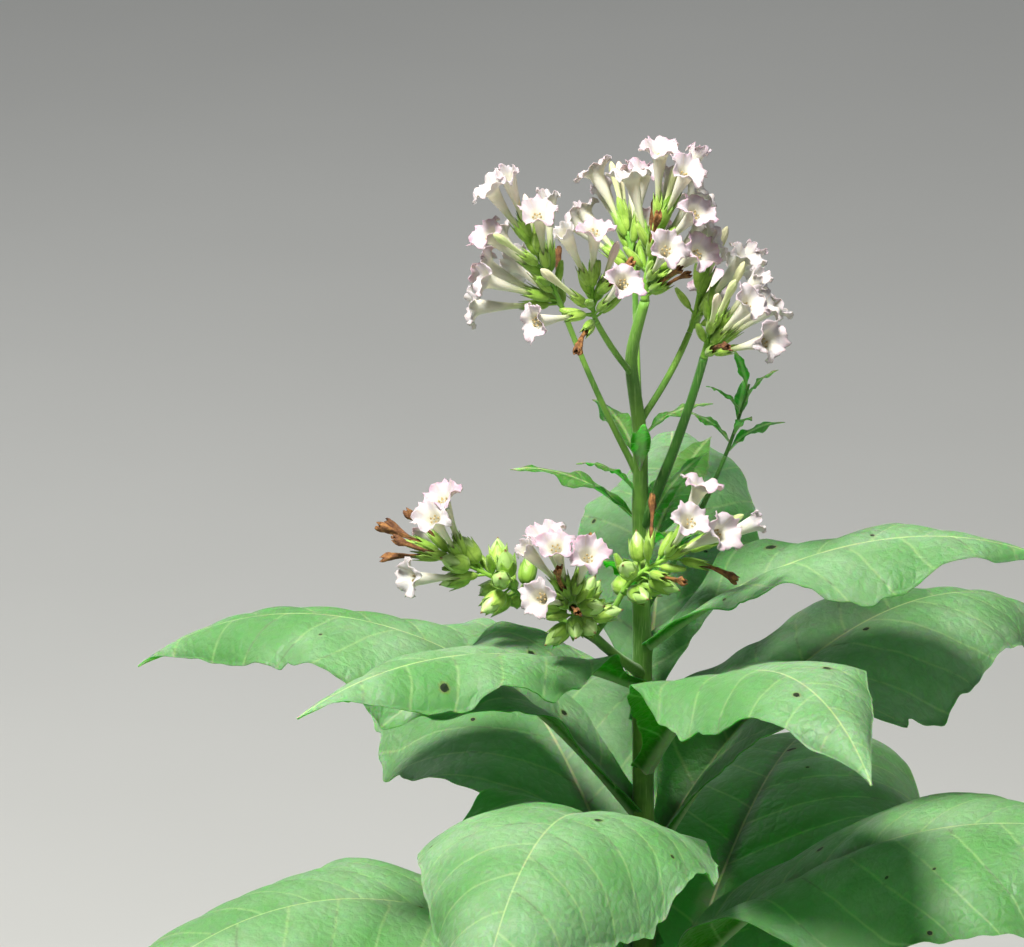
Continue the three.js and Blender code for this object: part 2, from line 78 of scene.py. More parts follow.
# A light's row: where it stands and looks, how broad it is, its power in watts and its colour.
LIGHTS = {
    "overhead": ((-0.9, -1.1, 4.2), (0.0, 0.0, 1.1), 0.9, 235.0, (1.0, 0.98, 0.93)),
    "front_fill": ((2.6, -3.6, 2.2), (0.0, 0.0, 0.9), 2.6, 20.0, (0.94, 0.97, 1.0)),
    "back_fill": ((-2.4, 3.4, 2.6), (0.0, 0.0, 0.9), 2.6, 20.0, (0.96, 0.98, 1.0)),
}
for name, (stand, aim, size, watts, tint) in LIGHTS.items():
    data = bpy.data.lights.new(name, "AREA")
    data.shape = "DISK"
    data.size = size
    data.energy = watts
    data.color = tint
    lamp = bpy.data.objects.new(name, data)
    bpy.context.scene.collection.objects.link(lamp)
    lamp.location = stand
    way = Vector(aim) - Vector(stand)
    lamp.rotation_euler = way.to_track_quat("-Z", "Y").to_euler()

world = bpy.data.worlds.new("studio")
bpy.context.scene.world = world
world.use_nodes = True
world.node_tree.nodes["Background"].inputs["Color"].default_value = SKY_COLOUR
world.node_tree.nodes["Background"].inputs["Strength"].default_value = SKY_STRENGTH
bpy.context.scene.view_settings.view_transform = "Standard"


def node(tree, kind, inputs=None, **settings):
    """One shader or geometry node. inputs holds sockets to link from, or plain values."""
    made = tree.nodes.new(kind)
    for key, value in settings.items():
        setattr(made, key, value)
    for key, value in (inputs or {}).items():
        if isinstance(value, bpy.types.NodeSocket):
            tree.links.new(value, made.inputs[key])
        else:
            made.inputs[key].default_value = value
    return made


SIGNS = {
    "+": "ADD", "-": "SUBTRACT", "*": "MULTIPLY", "/": "DIVIDE", "<": "LESS_THAN", ">": "GREATER_THAN",
    "size": "ABSOLUTE", "fraction": "FRACT",
}


def maths(sign, first, second=None):
    """A sum of a socket and a socket or value, or the size or fraction of one socket."""
    inputs = {0: first} if second is None else {0: first, 1: second}
    return node(first.id_data, "ShaderNodeMath", inputs, operation=SIGNS[sign]).outputs[0]


def between(value, low, high, to_low=0.0, to_high=1.0):
    """value carried smoothly from the range low to high into the range to_low to to_high."""
    inputs = {"Value": value, "From Min": low, "From Max": high, "To Min": to_low, "To Max": to_high}
    made = node(value.id_data, "ShaderNodeMapRange", inputs, interpolation_type="SMOOTHSTEP")
    return made.outputs["Result"]


def colour(code):
    """A colour written as the eye sees it, such as 0x6fa05c, as the linear colour of a shader."""
    parts = [(code >> shift & 255) / 255.0 for shift in (16, 8, 0)]
    linear = [p / 12.92 if p <= 0.04045 else ((p + 0.055) / 1.055) ** 2.4 for p in parts]
    return (*linear, 1.0)


def mixed(factor, first, second):
    """The colour first where factor is 0 and second where it is 1."""
    made = node(factor.id_data, "ShaderNodeMix", {0: factor, 6: first, 7: second}, data_type="RGBA")
    return made.outputs[2]


def cloudy(where, scale, detail=3.0, roughness=0.55):
    inputs = {"Vector": where, "Scale": scale, "Detail": detail, "Roughness": roughness}
    return node(where.id_data, "ShaderNodeTexNoise", inputs).outputs["Fac"]


def finish(name, rough, sheen=0.0, gloss=0.5):
    """A new material with its shader and the piece's own coordinates in metres."""
    material = bpy.data.materials.new(name)
    material.use_nodes = True
    tree = material.node_tree
    shader = tree.nodes["Principled BSDF"]
    shader.inputs["Roughness"].default_value = rough
    shader.inputs["Sheen Weight"].default_value = sheen
    shader.inputs["Specular IOR Level"].default_value = gloss
    where = node(tree, "ShaderNodeTexCoord").outputs["Object"]
    return material, shader, where


def coat(shader, skin, height, depth, strength):
    """Gives a shader its colour and its relief, in which a height of 1 stands depth metres proud."""
    tree = shader.id_data
    tree.links.new(skin, shader.inputs["Base Color"])
    bump = node(tree, "ShaderNodeBump", {"Height": height, "Distance": depth, "Strength": strength})
    tree.links.new(bump.outputs["Normal"], shader.inputs["Normal"])


floor_mesh = bpy.data.meshes.new("floor")
floor_corners = [(x * FLOOR_REACH, y * FLOOR_REACH, 0) for x, y in [(-1, -1), (1, -1), (1, 1), (-1, 1)]]
floor_mesh.from_pydata(floor_corners, [], [(0, 1, 2, 3)])
floor = bpy.data.objects.new("floor", floor_mesh)
bpy.context.scene.collection.objects.link(floor)
floor_finish, floor_shader, floor_where = finish("pale floor", 0.9)
floor_colour = mixed(cloudy(floor_where, 1.5), colour(0xdcdcd8), colour(0xe4e4e0))
floor_finish.node_tree.links.new(floor_colour, floor_shader.inputs["Base Color"])
floor_mesh.materials.append(floor_finish)


# Stalk: one juicy green stem that tapers from a flared foot to the fork of the flower head. It is
# faintly ribbed, swells a little at each leaf, and grows from the ground with a slight bow and lean.
MM = 0.001  # all shapes are drawn in millimetres
STALK_TOP = 1375.0
NECK = 1211.0
STALK_BOW = 6.0
STALK_SWAY = 3.6
LEANS = [(-8.0, 1260, 80), (16.0, 1320, 90)]  # how far to the side, from which height, over how much
TIP_RADIUS = 3.8
TAPER = 10.7
TAPER_CURVE = 0.75
ROOT_FLARE = 9.0
FLARE_HEIGHT = 16.0
RIBS = 5
RIB_SHARE = 0.028
LEAF_SWELLING = 1.1
STALK_SIDES = 36
LEAF_COUNT = 22
CROWN_TOP = 1105.0
FIRST_GAP = 31.0
GAP_GROWTH = 1.6
LEAF_START = 357.5
LEAF_TURN = -137.5


def mix(first, second, share):
    return first + (second - first) * share


def ease(t):
    t = np.clip(t, 0.0, 1.0)
    return t * t * (3 - 2 * t)


def heading(azimuth, rise):
    """Unit vectors at azimuths from +X towards +Y and rises above the ground, in degrees."""
    a, r = np.radians(azimuth), np.radians(rise)
    return np.stack([np.cos(r) * np.cos(a), np.cos(r) * np.sin(a), np.sin(r) + 0 * a], axis=-1)


def stalk_centre(z):
    z = np.asarray(z, float)
    below = z < NECK
    bow = np.where(below, STALK_BOW * np.sin(math.pi * z / NECK), 0.0)
    sway = np.where(below, STALK_SWAY * np.sin(2 * math.pi * z / NECK), 0.0)
    lean = sum(reach * ease((z - start) / rise) for reach, start, rise in LEANS)
    return np.stack([bow + lean, sway, z], axis=-1)


def stalk_radius(z):
    z = np.asarray(z, float)
    taper = TAPER * np.clip(1 - z / STALK_TOP, 0, 1) ** TAPER_CURVE
    return TIP_RADIUS + taper + ROOT_FLARE * np.exp(-z / FLARE_HEIGHT)


def leaf_height(k):
    return CROWN_TOP - k * FIRST_GAP - GAP_GROWTH * k * (k - 1) / 2


def sheet_faces(rows, columns, closed):
    """Four-cornered faces between neighbouring points of a grid, round and round if closed."""
    i, j = np.meshgrid(np.arange(rows - 1), np.arange(columns - (not closed)), indexing="ij")
    after = (j + 1) % columns
    corners = [i * columns + j, i * columns + after, (i + 1) * columns + after, (i + 1) * columns + j]
    return np.stack(corners, axis=-1).reshape(-1, 4)


def fan_faces(ring, tip):
    """Three-cornered faces from a ring of points to one tip."""
    return np.stack([ring, np.roll(ring, -1), np.full(len(ring), tip)], axis=-1)


def capped_faces(rows, sides):
    """A tube of rings of points, closed at its foot and tip by the two points after the last ring."""
    foot = np.arange(sides)[::-1]
    tip = np.arange(sides) + (rows - 1) * sides
    caps = [fan_faces(foot, rows * sides), fan_faces(tip, rows * sides + 1)]
    return [sheet_faces(rows, sides, True), np.concatenate(caps)]


def make_mesh(name, points, face_sets, labels):
    """A mesh from points in millimetres and arrays of faces, with labels of three numbers a point."""
    mesh = bpy.data.meshes.new(name)
    points = np.asarray(points, float).reshape(-1, 3) * MM
    mesh.vertices.add(len(points))
    mesh.vertices.foreach_set("co", points.ravel())
    sizes = np.concatenate([np.full(len(faces), faces.shape[1]) for faces in face_sets])
    mesh.loops.add(int(sizes.sum()))
    mesh.loops.foreach_set("vertex_index", np.concatenate([faces.ravel() for faces in face_sets]))
    mesh.polygons.add(len(sizes))
    starts = np.concatenate([[0], np.cumsum(sizes)[:-1]])
    mesh.polygons.foreach_set("loop_start", starts.astype(np.int32))
    for key, values in labels.items():
        made = mesh.attributes.new(key, "FLOAT_VECTOR", "POINT")
        made.data.foreach_set("vector", np.asarray(values, float).ravel())
    mesh.update(calc_edges=True)
    mesh.validate()
    mesh.shade_smooth()
    return mesh


def joined(parts):
    """Several bodies, each of points, face sets and labels, as one, so that like pieces share a mesh."""
    points, faces, labels, count = [], [], [], 0
    for part_points, part_faces, part_labels in parts:
        part_points = np.asarray(part_points).reshape(-1, 3)
        points.append(part_points)
        labels.append(np.asarray(part_labels).reshape(-1, 3))
        faces += [face_set + count for face_set in part_faces]
        count += len(part_points)
    corners = sorted({face_set.shape[1] for face_set in faces})
    faces = [np.concatenate([f for f in faces if f.shape[1] == number]) for number in corners]
    return np.concatenate(points), faces, np.concatenate(labels)


def place(name, mesh, material, slot, *nodes):
    """A finished piece of the plant that stands for CAD nodes."""
    piece = bpy.data.objects.new(name, mesh)
    bpy.context.scene.collection.objects.link(piece)
    if material:
        mesh.materials.clear()
        mesh.materials.append(material)
    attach(piece, "root")
    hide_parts(*nodes)
    return piece


def angles_round(sides):
    return np.arange(sides) * 2 * math.pi / sides


def tube(centres, across, over, wide, far):
    """Rings of points round a path, wide apart across and over it, closed at both ends. Their labels
    are how far up the path each ring lies, in metres and as a share, and the angle round it."""
    rows, sides = wide.shape
    angle = angles_round(sides)
    points = (
        centres[:, None]
        + across * (wide * np.cos(angle))[..., None]
        + over * (wide * np.sin(angle))[..., None]
    ).reshape(-1, 3)
    points = np.concatenate([points, centres[:1], centres[-1:]])
    up, share = np.repeat(far * MM, sides), np.repeat(far / far[-1], sides)
    labels = np.stack([up, share, np.tile(angle, rows)], axis=-1)
    ends = [[0.0, 0.0, 0.0], [far[-1] * MM, 1.0, 0.0]]
    return points, capped_faces(rows, sides), np.concatenate([labels, ends])


def round_stem(centres, ways, radii, sides, swell=None):
    """A stem whose rings stand square to its path. swell(angle, ring) widens them."""
    lead = np.where(np.abs(ways[:, 2:3]) > 0.95, [[1.0, 0.0, 0.0]], [[0.0, 0.0, 1.0]])
    across = np.cross(ways, lead)
    for i in range(1, len(across)):
        across[i] = across[i - 1] - ways[i] * np.dot(across[i - 1], ways[i])
    across /= np.linalg.norm(across, axis=1, keepdims=True)
    wide = radii[:, None] * np.ones(sides)
    if swell is not None:
        angle = angles_round(sides)
        wide = wide + swell(angle[None, :], np.arange(len(centres))[:, None])
    far = np.concatenate([[0.0], np.cumsum(np.linalg.norm(np.diff(centres, axis=0), axis=1))])
    points, faces, labels = tube(centres, across[:, None], np.cross(across, ways)[:, None], wide, far)
    return points, [face_set[:, ::-1] for face_set in faces], labels


stalk_z = np.unique(np.concatenate([np.linspace(0, 60, 21), np.linspace(60, STALK_TOP, 260)]))
stalk_path = stalk_centre(stalk_z)
leaf_heights = np.array([leaf_height(k) for k in range(LEAF_COUNT)])
leaf_bearings = np.radians(np.array([LEAF_START + LEAF_TURN * k for k in range(LEAF_COUNT)]))


def stalk_swell(angle, ring):
    """Five soft ribs, and a swelling under each leaf that runs down the stalk below it."""
    z = stalk_z[ring]
    ribs = RIB_SHARE * stalk_radius(z) * np.cos(RIBS * angle + z / 160.0)
    bumps = 0.0
    for height, bearing in zip(leaf_heights, leaf_bearings):
        below = height - z
        near = np.exp(-(below / 9.0) ** 2) + 0.55 * np.where(below > 0, np.exp(-below / 38.0), 0.0)
        facing = np.exp(-((np.angle(np.exp(1j * (angle - bearing))) / 0.7) ** 2))
        bumps = bumps + LEAF_SWELLING * near * facing
    return (ribs + bumps) * np.clip(z / 30.0, 0, 1)


def upright_stem():
    """The stalk's rings lie level, so that its foot is one flat cut."""
    angle = angles_round(STALK_SIDES)
    swelling = stalk_swell(angle[None, :], np.arange(len(stalk_z))[:, None])
    wide = stalk_radius(stalk_z)[:, None] + swelling
    return tube(stalk_path, np.array([1.0, 0.0, 0.0]), np.array([0.0, 1.0, 0.0]), wide, stalk_z)


def label_of(material, name):
    """What a mesh carries under a name at each point, whole and as its three numbers."""
    label = node(material.node_tree, "ShaderNodeAttribute", attribute_name=name).outputs["Vector"]
    return label, node(material.node_tree, "ShaderNodeSeparateXYZ", {0: label}).outputs


def painted(base, *layers):
    """A colour under layers of share and colour, each laid over those before it by its share."""
    skin = colour(base) if isinstance(base, int) else base
    for share, code in layers:
        skin = mixed(share, skin, colour(code))
    return skin


def summed(*parts):
    """The sum of sockets, each with how many times it counts."""
    total = None
    for times, value in parts:
        part = maths("*", value, times)
        total = part if total is None else maths("+", total, part)
    return total


def stem_finish(name, low, high, shade):
    """Green stem: paler and yellower upwards, with fine lengthwise streaks and a downy bloom."""
    material, shader, where = finish(name, 0.55, sheen=0.25, gloss=0.4)
    _, (_, up_stem, _) = label_of(material, "stem")
    drawn_out = node(
        material.node_tree, "ShaderNodeVectorMath", {0: where, 1: (1.0, 1.0, 0.06)}, operation="MULTIPLY",
    )
    streak = cloudy(drawn_out.outputs[0], 900.0)
    skin = painted(
        low,
        (between(up_stem, 0.1, 0.85), high),
        (between(cloudy(where, 24.0, detail=4.0), 0.42, 0.68), shade),
        (between(streak, 0.52, 0.75, 0.0, 0.35), 0xa9c97a),
    )
    height = summed((0.6, streak), (0.4, cloudy(where, 1600.0, detail=2.0)))
    coat(shader, skin, height, 0.0006, 0.6)
    return material


def skin_piece(name, body, label, material, slot, *nodes):
    """A piece of the plant from one body of points, face sets and labels."""
    points, faces, labels = body
    place(name, make_mesh(name, points, faces, {label: labels}), material, slot, *nodes)


stalk_finish = stem_finish("stalk skin", 0x5a8430, 0x6ea036, 0x487a24)
skin_piece("stalk_skin", upright_stem(), "stem", stalk_finish, "stalk", "stalk")


# Branches: the forks of the flower head, the low flowering shoot with its two forks, and the thin
# leafy twig. Each is a round green stem that leaves the stalk with a swollen foot and tapers.
# A limb's row: what it grows on and where, its tip, its radius at foot and tip, and its bow outwards.
LIMBS = {
    "branch_left": ("stalk", 1236, (-56, -6, 1366), 2.6, 2.1, 5),
    "branch_right": ("stalk", 1196, (46, -15, 1336), 4.3, 3.2, 6),
    "branch_right_inner": ("stalk", 1280, (36, 24, 1342), 2.7, 2.2, 7),
    "branch_front": ("stalk", 1318, (-33, -34, 1370), 2.5, 2.1, 4),
    "branch_back": ("stalk", 1258, (-4, 52, 1372), 2.8, 2.2, 6),
    "low_shoot": ("stalk", 1082, (-46, -84, 1156), 4.4, 3.3, 9),
    "low_fork_left": ("low_shoot", 0.62, (-82, -56, 1162), 2.6, 2.1, 3),
    "low_fork_right": ("low_shoot", 0.74, (-14, -66, 1170), 2.7, 2.1, 3),
    "leafy_twig": ("stalk", 1128, (64, 48, 1236), 2.6, 1.6, 10),
}
# The right branch and the leafy twig take a darker copy of the branch skin, which is painted shade.
SHADED_LIMBS = ("branch_right", "leafy_twig")
LIMB_RINGS = 44
LIMB_SIDES = 16
LIMB_RIBS = 4
FOOT_SWELLING = 0.22
STEP = 0.0001  # the share of a bend over which its direction is measured


def bend_point(bend, share):
    """A point on the curve through a start and an end that leans towards a middle point."""
    start, middle, end = bend
    share = np.asarray(share, float)[..., None]
    return (1 - share) ** 2 * start + 2 * (1 - share) * share * middle + share**2 * end


def bend_way(bend, share):
    """The curve's own direction at a share of its way."""
    near = np.clip([share - STEP, share + STEP], 0.0, 1.0)
    ahead = bend_point(bend, near[1]) - bend_point(bend, near[0])
    return ahead / np.linalg.norm(ahead, axis=-1, keepdims=True)


def limb_bend(name):
    parent, start_at, tip, _, _, bow = LIMBS[name]
    start = stalk_centre(start_at) if parent == "stalk" else bend_point(limb_bend(parent), start_at)
    tip = np.array(tip, float)
    outward = np.array([tip[0] - start[0], tip[1] - start[1], 0.0])
    outward /= np.linalg.norm(outward)
    return start, (start + tip) / 2 + outward * bow, tip


def bent_stem(bend, rings, radii, sides, swell=None):
    """A stem along a bend. radii(share) gives its radius at each share of the way."""
    share = np.linspace(0, 1, rings)
    return round_stem(bend_point(bend, share), bend_way(bend, share), radii(share), sides, swell)


def limb_stem(name):
    _, _, _, foot, end, _ = LIMBS[name]

    def radii(share):
        return mix(foot, end, share) + FOOT_SWELLING * foot * np.exp(-((share - 0.04) / 0.05) ** 2)

    def ribs(angle, ring):
        return 0.05 * foot * np.cos(LIMB_RIBS * angle + ring * 0.12)

    return bent_stem(limb_bend(name), LIMB_RINGS, radii, LIMB_SIDES, ribs)


branch_finish = stem_finish("branch skin", 0x66982f, 0x7eb03e, 0x518526)
shaded_branch_finish = stem_finish("branch skin in painted shade", 0x35701a, 0x3f7d1e, 0x2c6016)
for limb_name in LIMBS:
    limb_skin = shaded_branch_finish if limb_name in SHADED_LIMBS else branch_finish
    skin_piece(limb_name + "_skin", limb_stem(limb_name), "stem", limb_skin, "branch", limb_name)


# Large leaves: broad soft blades that rise from the stalk in a spiral and arch over, with rolled and
# wavy margins. Each has a thick pale midrib and side veins, between which the blade is puffed up.
LEAF_SEED = 71
ROOT_SHARE = 0.6  # how far out of the stalk's middle a leaf starts, as a share of its radius
LEAF_LONGEST = 600.0
LEAF_HIGHEST = 330.0
LEAF_LOWEST = 430.0
RISES = (52, 30)  # degrees at the leaf's foot, for the top leaf and for the low ones
DROOPS = (-26, -64)  # the same at the leaf's tip
LOW_DROOP_LESS = 16
LOWERED = {0: 14, 1: 26}  # degrees that the two top leaves are bent down by
FOLD = 30
CURL = 62
SPREADS = {
    "azimuth": 5, "length": 0.04, "rise": 4, "droop": 7, "swerve": 16, "roll": 14, "fold": 8, "curl": 14,
}
HALF_WIDTH_SHARE = 0.235
WING_SHARE = 0.15
TIP_SHARE = 0.012
MARGIN_WAVES = 2.6
SLOW_WAVES = 5.1
QUICK_WAVES = 9.3
WAVE_SHARE = 0.036
QUICK_WAVE_SHARE = 0.009
FRAYS = [(0.012, 12.7, 3), (0.006, 27.1, 1)]  # depth, waves along the margin, and how shifted
OTHER_SIDE = 1.9  # how far the left margin's waves are ahead of the right one's
LEAN_WIDTH_SHARE = 0.03
VEIN_GAP = 42.0
PUFF = 1.9
FLAT_BY_RIB = 9.0
GROOVE_DEPTH = 0.9
GROOVE_HALF_WIDTH = 4.0
BLADE_THICKNESS = 1.3
RIB_DEPTH_SHARE = 0.0105
BITES = 6
LEAF_ALONG = 150
LEAF_ACROSS = 44
COLUMN_CROWDING = 1.35  # above 1 the columns of points crowd towards the midrib


def seeded(seed):
    """The same numbers for the same seed on every run, each from 0 up to 1."""
    state = [seed]

    def following():
        state[0] = state[0] * 16807 % 2147483647
        return state[0] / 2147483647

    return following


def stalk_root(z, azimuth):
    return stalk_centre(z) + heading(azimuth, 0.0) * ROOT_SHARE * stalk_radius(z)


def full_leaves():
    """The leaves from the top down, each as its length, angles and share of the way down."""
    random = seeded(LEAF_SEED)

    def spread(key):
        return (2 * random() - 1) * SPREADS[key]

    leaves = []
    for k in range(LEAF_COUNT):
        down = k / (LEAF_COUNT - 1)
        longer = mix(LEAF_HIGHEST, LEAF_LONGEST, ease(down / 0.45))
        shorter = (LEAF_LONGEST - LEAF_LOWEST) * np.clip((down - 0.5) / 0.5, 0, 1) ** 1.4
        z = leaf_height(k)
        azimuth = LEAF_START + LEAF_TURN * k + spread("azimuth")
        leaf = {"name": f"leaf_{k + 1:02d}", "azimuth": azimuth, "root": stalk_root(z, azimuth), "age": down}
        leaf["length"] = (longer - shorter) * (1 + spread("length"))
        leaf["half_share"] = HALF_WIDTH_SHARE * mix(0.86, 1.06, ease(down * 2))
        leaf["rise"] = mix(*RISES, ease((down - 0.35) / 0.65)) + spread("rise") - LOWERED.get(k, 0)
        droop = mix(*DROOPS, ease(down / 0.35)) + LOW_DROOP_LESS * ease((down - 0.65) / 0.35)
        leaf["droop"] = droop + spread("droop")
        leaf["swerve"] = spread("swerve")
        leaf["roll"] = spread("roll")
        leaf["fold"] = FOLD + spread("fold")
        leaf["curl"] = CURL + spread("curl")
        leaf["phase"] = random() * 2 * math.pi
        leaves.append(leaf)
    return leaves


def midrib(leaf, steps):
    """Points of the midrib with the rise and azimuth at each."""
    share = np.linspace(0, 1, steps + 1)

    def turned(share):
        rise = leaf["rise"] + (leaf["droop"] - leaf["rise"]) * share**1.5
        return leaf["azimuth"] + leaf["swerve"] * share, rise

    ways = heading(*turned((share[1:] + share[:-1]) / 2))
    run = np.cumsum(ways * leaf["length"] / steps, axis=0)
    azimuth, rise = turned(share)
    return share, leaf["root"] + np.concatenate([np.zeros((1, 3)), run]), rise, azimuth


def half_width(leaf, u):
    wing = WING_SHARE * (1 - u) ** 2
    blade = np.sin(math.pi * np.clip((u - 0.04) / 0.96, 0, 1) ** 0.9) ** 1.2
    return leaf["length"] * leaf["half_share"] * np.sqrt(wing**2 + blade**2 + TIP_SHARE**2)


def margin_loss(leaf, u, side):
    """The share of its width that the blade has lost at its margin, frayed all along and bitten."""
    random = seeded(int(1000 + 997 * leaf["phase"]))
    turns = leaf["phase"] + np.where(side < 0, 2.1, 0.0)
    lost = sum(depth * (1 + np.sin(2 * math.pi * waves * u + shift * turns)) for depth, waves, shift in FRAYS)
    for _ in range(BITES):
        spot, depth = 0.15 + 0.75 * random(), 0.02 + 0.05 * random()
        reach, half = 0.006 + 0.01 * random(), random()
        lost = lost + depth * np.exp(-(((u - spot) / reach) ** 2)) * ((side < 0) == (half < 0.5))
    return lost


def ruffles(leaf, u, share, side, extra_wave):
    """How far the waves of the margin lift the blade, in millimetres."""
    offset = np.where(side < 0, OTHER_SIDE, 0.0)
    wave = np.sin(2 * math.pi * MARGIN_WAVES * u + leaf["phase"] + offset)
    quick = np.sin(2 * math.pi * QUICK_WAVES * u + 2.3 * leaf["phase"] + 2 * offset)
    slow = np.sin(2 * math.pi * SLOW_WAVES * u + 1.1 * leaf["phase"] + 3 * offset)
    grown = ease(u / 0.35) * (1 - u**4)
    ruffle = leaf["length"] * WAVE_SHARE * share**2 * grown * wave
    return ruffle + leaf["length"] * extra_wave * grown * share**3 * (0.6 * quick + slow)


def blade(leaf, along_steps, across_steps, puff, extra_wave):
    """The blade's upper face as a grid of points, with the way up from it and its flat coordinates."""
    u, rib, rise, azimuth = midrib(leaf, along_steps)
    column = np.linspace(-1, 1, across_steps + 1)
    beside = np.sign(column) * np.abs(column) ** COLUMN_CROWDING
    along = heading(azimuth, rise)
    right = heading(azimuth - 90, 0 * azimuth)
    over = np.cross(right, along)
    u = u[:, None]
    turn = np.radians(leaf["roll"] * u)
    right, over = right * np.cos(turn) - over * np.sin(turn), over * np.cos(turn) + right * np.sin(turn)
    fold = np.radians(leaf["fold"] * (1 - ease(u / 0.75)) + 4)
    curl = np.minimum(np.radians(-leaf["curl"] * ease(u / 0.5)), -1e-6)
    share = np.abs(beside)[None, :]
    side = np.sign(beside)[None, :]
    share = share * (1 - margin_loss(leaf, u, side) * share**8)
    width = half_width(leaf, u)
    turned = fold + curl * share
    out = (np.sin(turned) - np.sin(fold)) / curl
    lift = (np.cos(fold) - np.cos(turned)) / curl
    length = leaf["length"]
    flat = share * width
    hump = np.abs(np.sin(math.pi * vein_phase(u * length, side * flat))) ** 0.8
    puffed = np.clip(flat / FLAT_BY_RIB, 0, 1) * (1 - share**6) * np.clip(width / 40.0, 0, 1)
    groove = GROOVE_DEPTH * np.exp(-((flat / GROOVE_HALF_WIDTH) ** 2)) * (1 - 0.7 * u)
    ruffle = ruffles(leaf, u, share, side, extra_wave)
    height = width * lift + ruffle + puff * (hump - 0.5) * puffed - groove
    points = (
        rib[:, None]
        + right[:, None] * (side * width * out)[..., None]
        + over[:, None] * height[..., None]
    )
    lean = turned * np.minimum(1.0, width / (length * LEAN_WIDTH_SHARE))
    normal = over[:, None] * np.cos(lean)[..., None] - right[:, None] * (side * np.sin(lean))[..., None]
    spot = np.broadcast_arrays(u * length, side * flat, u + 0 * flat)
    return points, normal, np.stack(spot, axis=-1)


def vein_phase(along, across):
    """Whole numbers lie on the side veins, which lean towards the tip and bend more at the margin."""
    reach = np.abs(across)
    shift = np.where(across < 0, 0.5 * VEIN_GAP, 0.0)
    return (along - 0.5 * reach - 0.0022 * reach**2 + shift) / VEIN_GAP


def leaf_body(leaf, along_steps, across_steps, thickness, puff, extra_wave):
    """A closed blade: upper face, underside with its raised midrib, and the margin between them."""
    top, normal, spot = blade(leaf, along_steps, across_steps, puff, extra_wave)
    u = spot[..., 2]
    flat = np.abs(spot[..., 1])
    rib = leaf["length"] * RIB_DEPTH_SHARE * (1 - u) ** 1.3
    rib_half = 1.6 + 5.5 * (1 - u) ** 1.5 * leaf["length"] / 600
    ridge = rib * np.exp(-((flat / rib_half) ** 2))
    under = top - normal * (thickness + ridge)[..., None]
    rows, columns = top.shape[:2]
    points = np.concatenate([top.reshape(-1, 3), under.reshape(-1, 3)])
    upper = sheet_faces(rows, columns, False)
    lower = upper[:, ::-1] + rows * columns
    grid = np.arange(rows * columns).reshape(rows, columns)
    edge = np.concatenate([grid[:, 0], grid[-1, 1:], grid[-2::-1, -1], grid[0, -2:0:-1]])
    following = np.roll(edge, -1)
    margin = np.stack([edge, following, following + rows * columns, edge + rows * columns], axis=-1)
    labels = np.stack([spot[..., 0] * MM, spot[..., 1] * MM, 1 + 0 * u], axis=-1).reshape(-1, 3)
    under_labels = labels * [1, 1, -1]
    return points, [upper, lower, margin[:, ::-1]], np.concatenate([labels, under_labels])


def vein_distance(where, along, across, reach, gap):
    """How far a point is from the next side vein, from 0 on it to 0.5 half way to the one after."""
    leant = summed((0.5, reach), (2.2, maths("*", reach, reach)))
    wander = maths("*", maths("-", cloudy(where, 26.0, detail=1.0), 0.5), 0.008)
    left = maths("*", maths("<", across, 0.0), 0.5 * gap)
    run = maths("+", maths("-", along, leant), left)
    phase = maths("/", maths("+", run, wander), gap)
    return maths("size", maths("-", maths("fraction", maths("+", phase, 0.5)), 0.5))


def cell_wall(label, scale, randomness=1.0):
    """How far a point is from the wall of its cell, in a flat pattern of uneven cells."""
    inputs = {"Vector": label, "Scale": scale, "Randomness": randomness}
    settings = {"feature": "DISTANCE_TO_EDGE", "voronoi_dimensions": "2D"}
    return node(label.id_data, "ShaderNodeTexVoronoi", inputs, **settings).outputs["Distance"]


def eaten_spots(where, along, across, age):
    """A few ragged eaten holes, painted on, that differ from leaf to leaf: the share of their brown rim, and
    of their dark middle, which is painted shade seen through the hole.
    """
    tree = where.id_data
    moved = maths("+", along, maths("*", age, 9.0))
    flat = node(tree, "ShaderNodeCombineXYZ", {0: moved, 1: across}).outputs[0]
    spots = node(tree, "ShaderNodeTexVoronoi", {"Vector": flat, "Scale": 26.0}, voronoi_dimensions="2D")
    luck = node(tree, "ShaderNodeSeparateXYZ", {0: spots.outputs["Color"]}).outputs
    chosen = maths(">", luck[0], 0.9)
    ragged = maths("*", maths("-", cloudy(where, 220.0), 0.5), 0.12)
    away = maths("*", spots.outputs["Distance"], between(luck[1], 0.0, 1.0, 0.9, 2.2))
    away = maths("+", away, ragged)
    rim = maths("*", between(away, 0.09, 0.14, 1.0, 0.0), chosen)
    middle = maths("*", between(away, 0.07, 0.09, 1.0, 0.0), chosen)
    return maths("*", rim, 0.45), middle


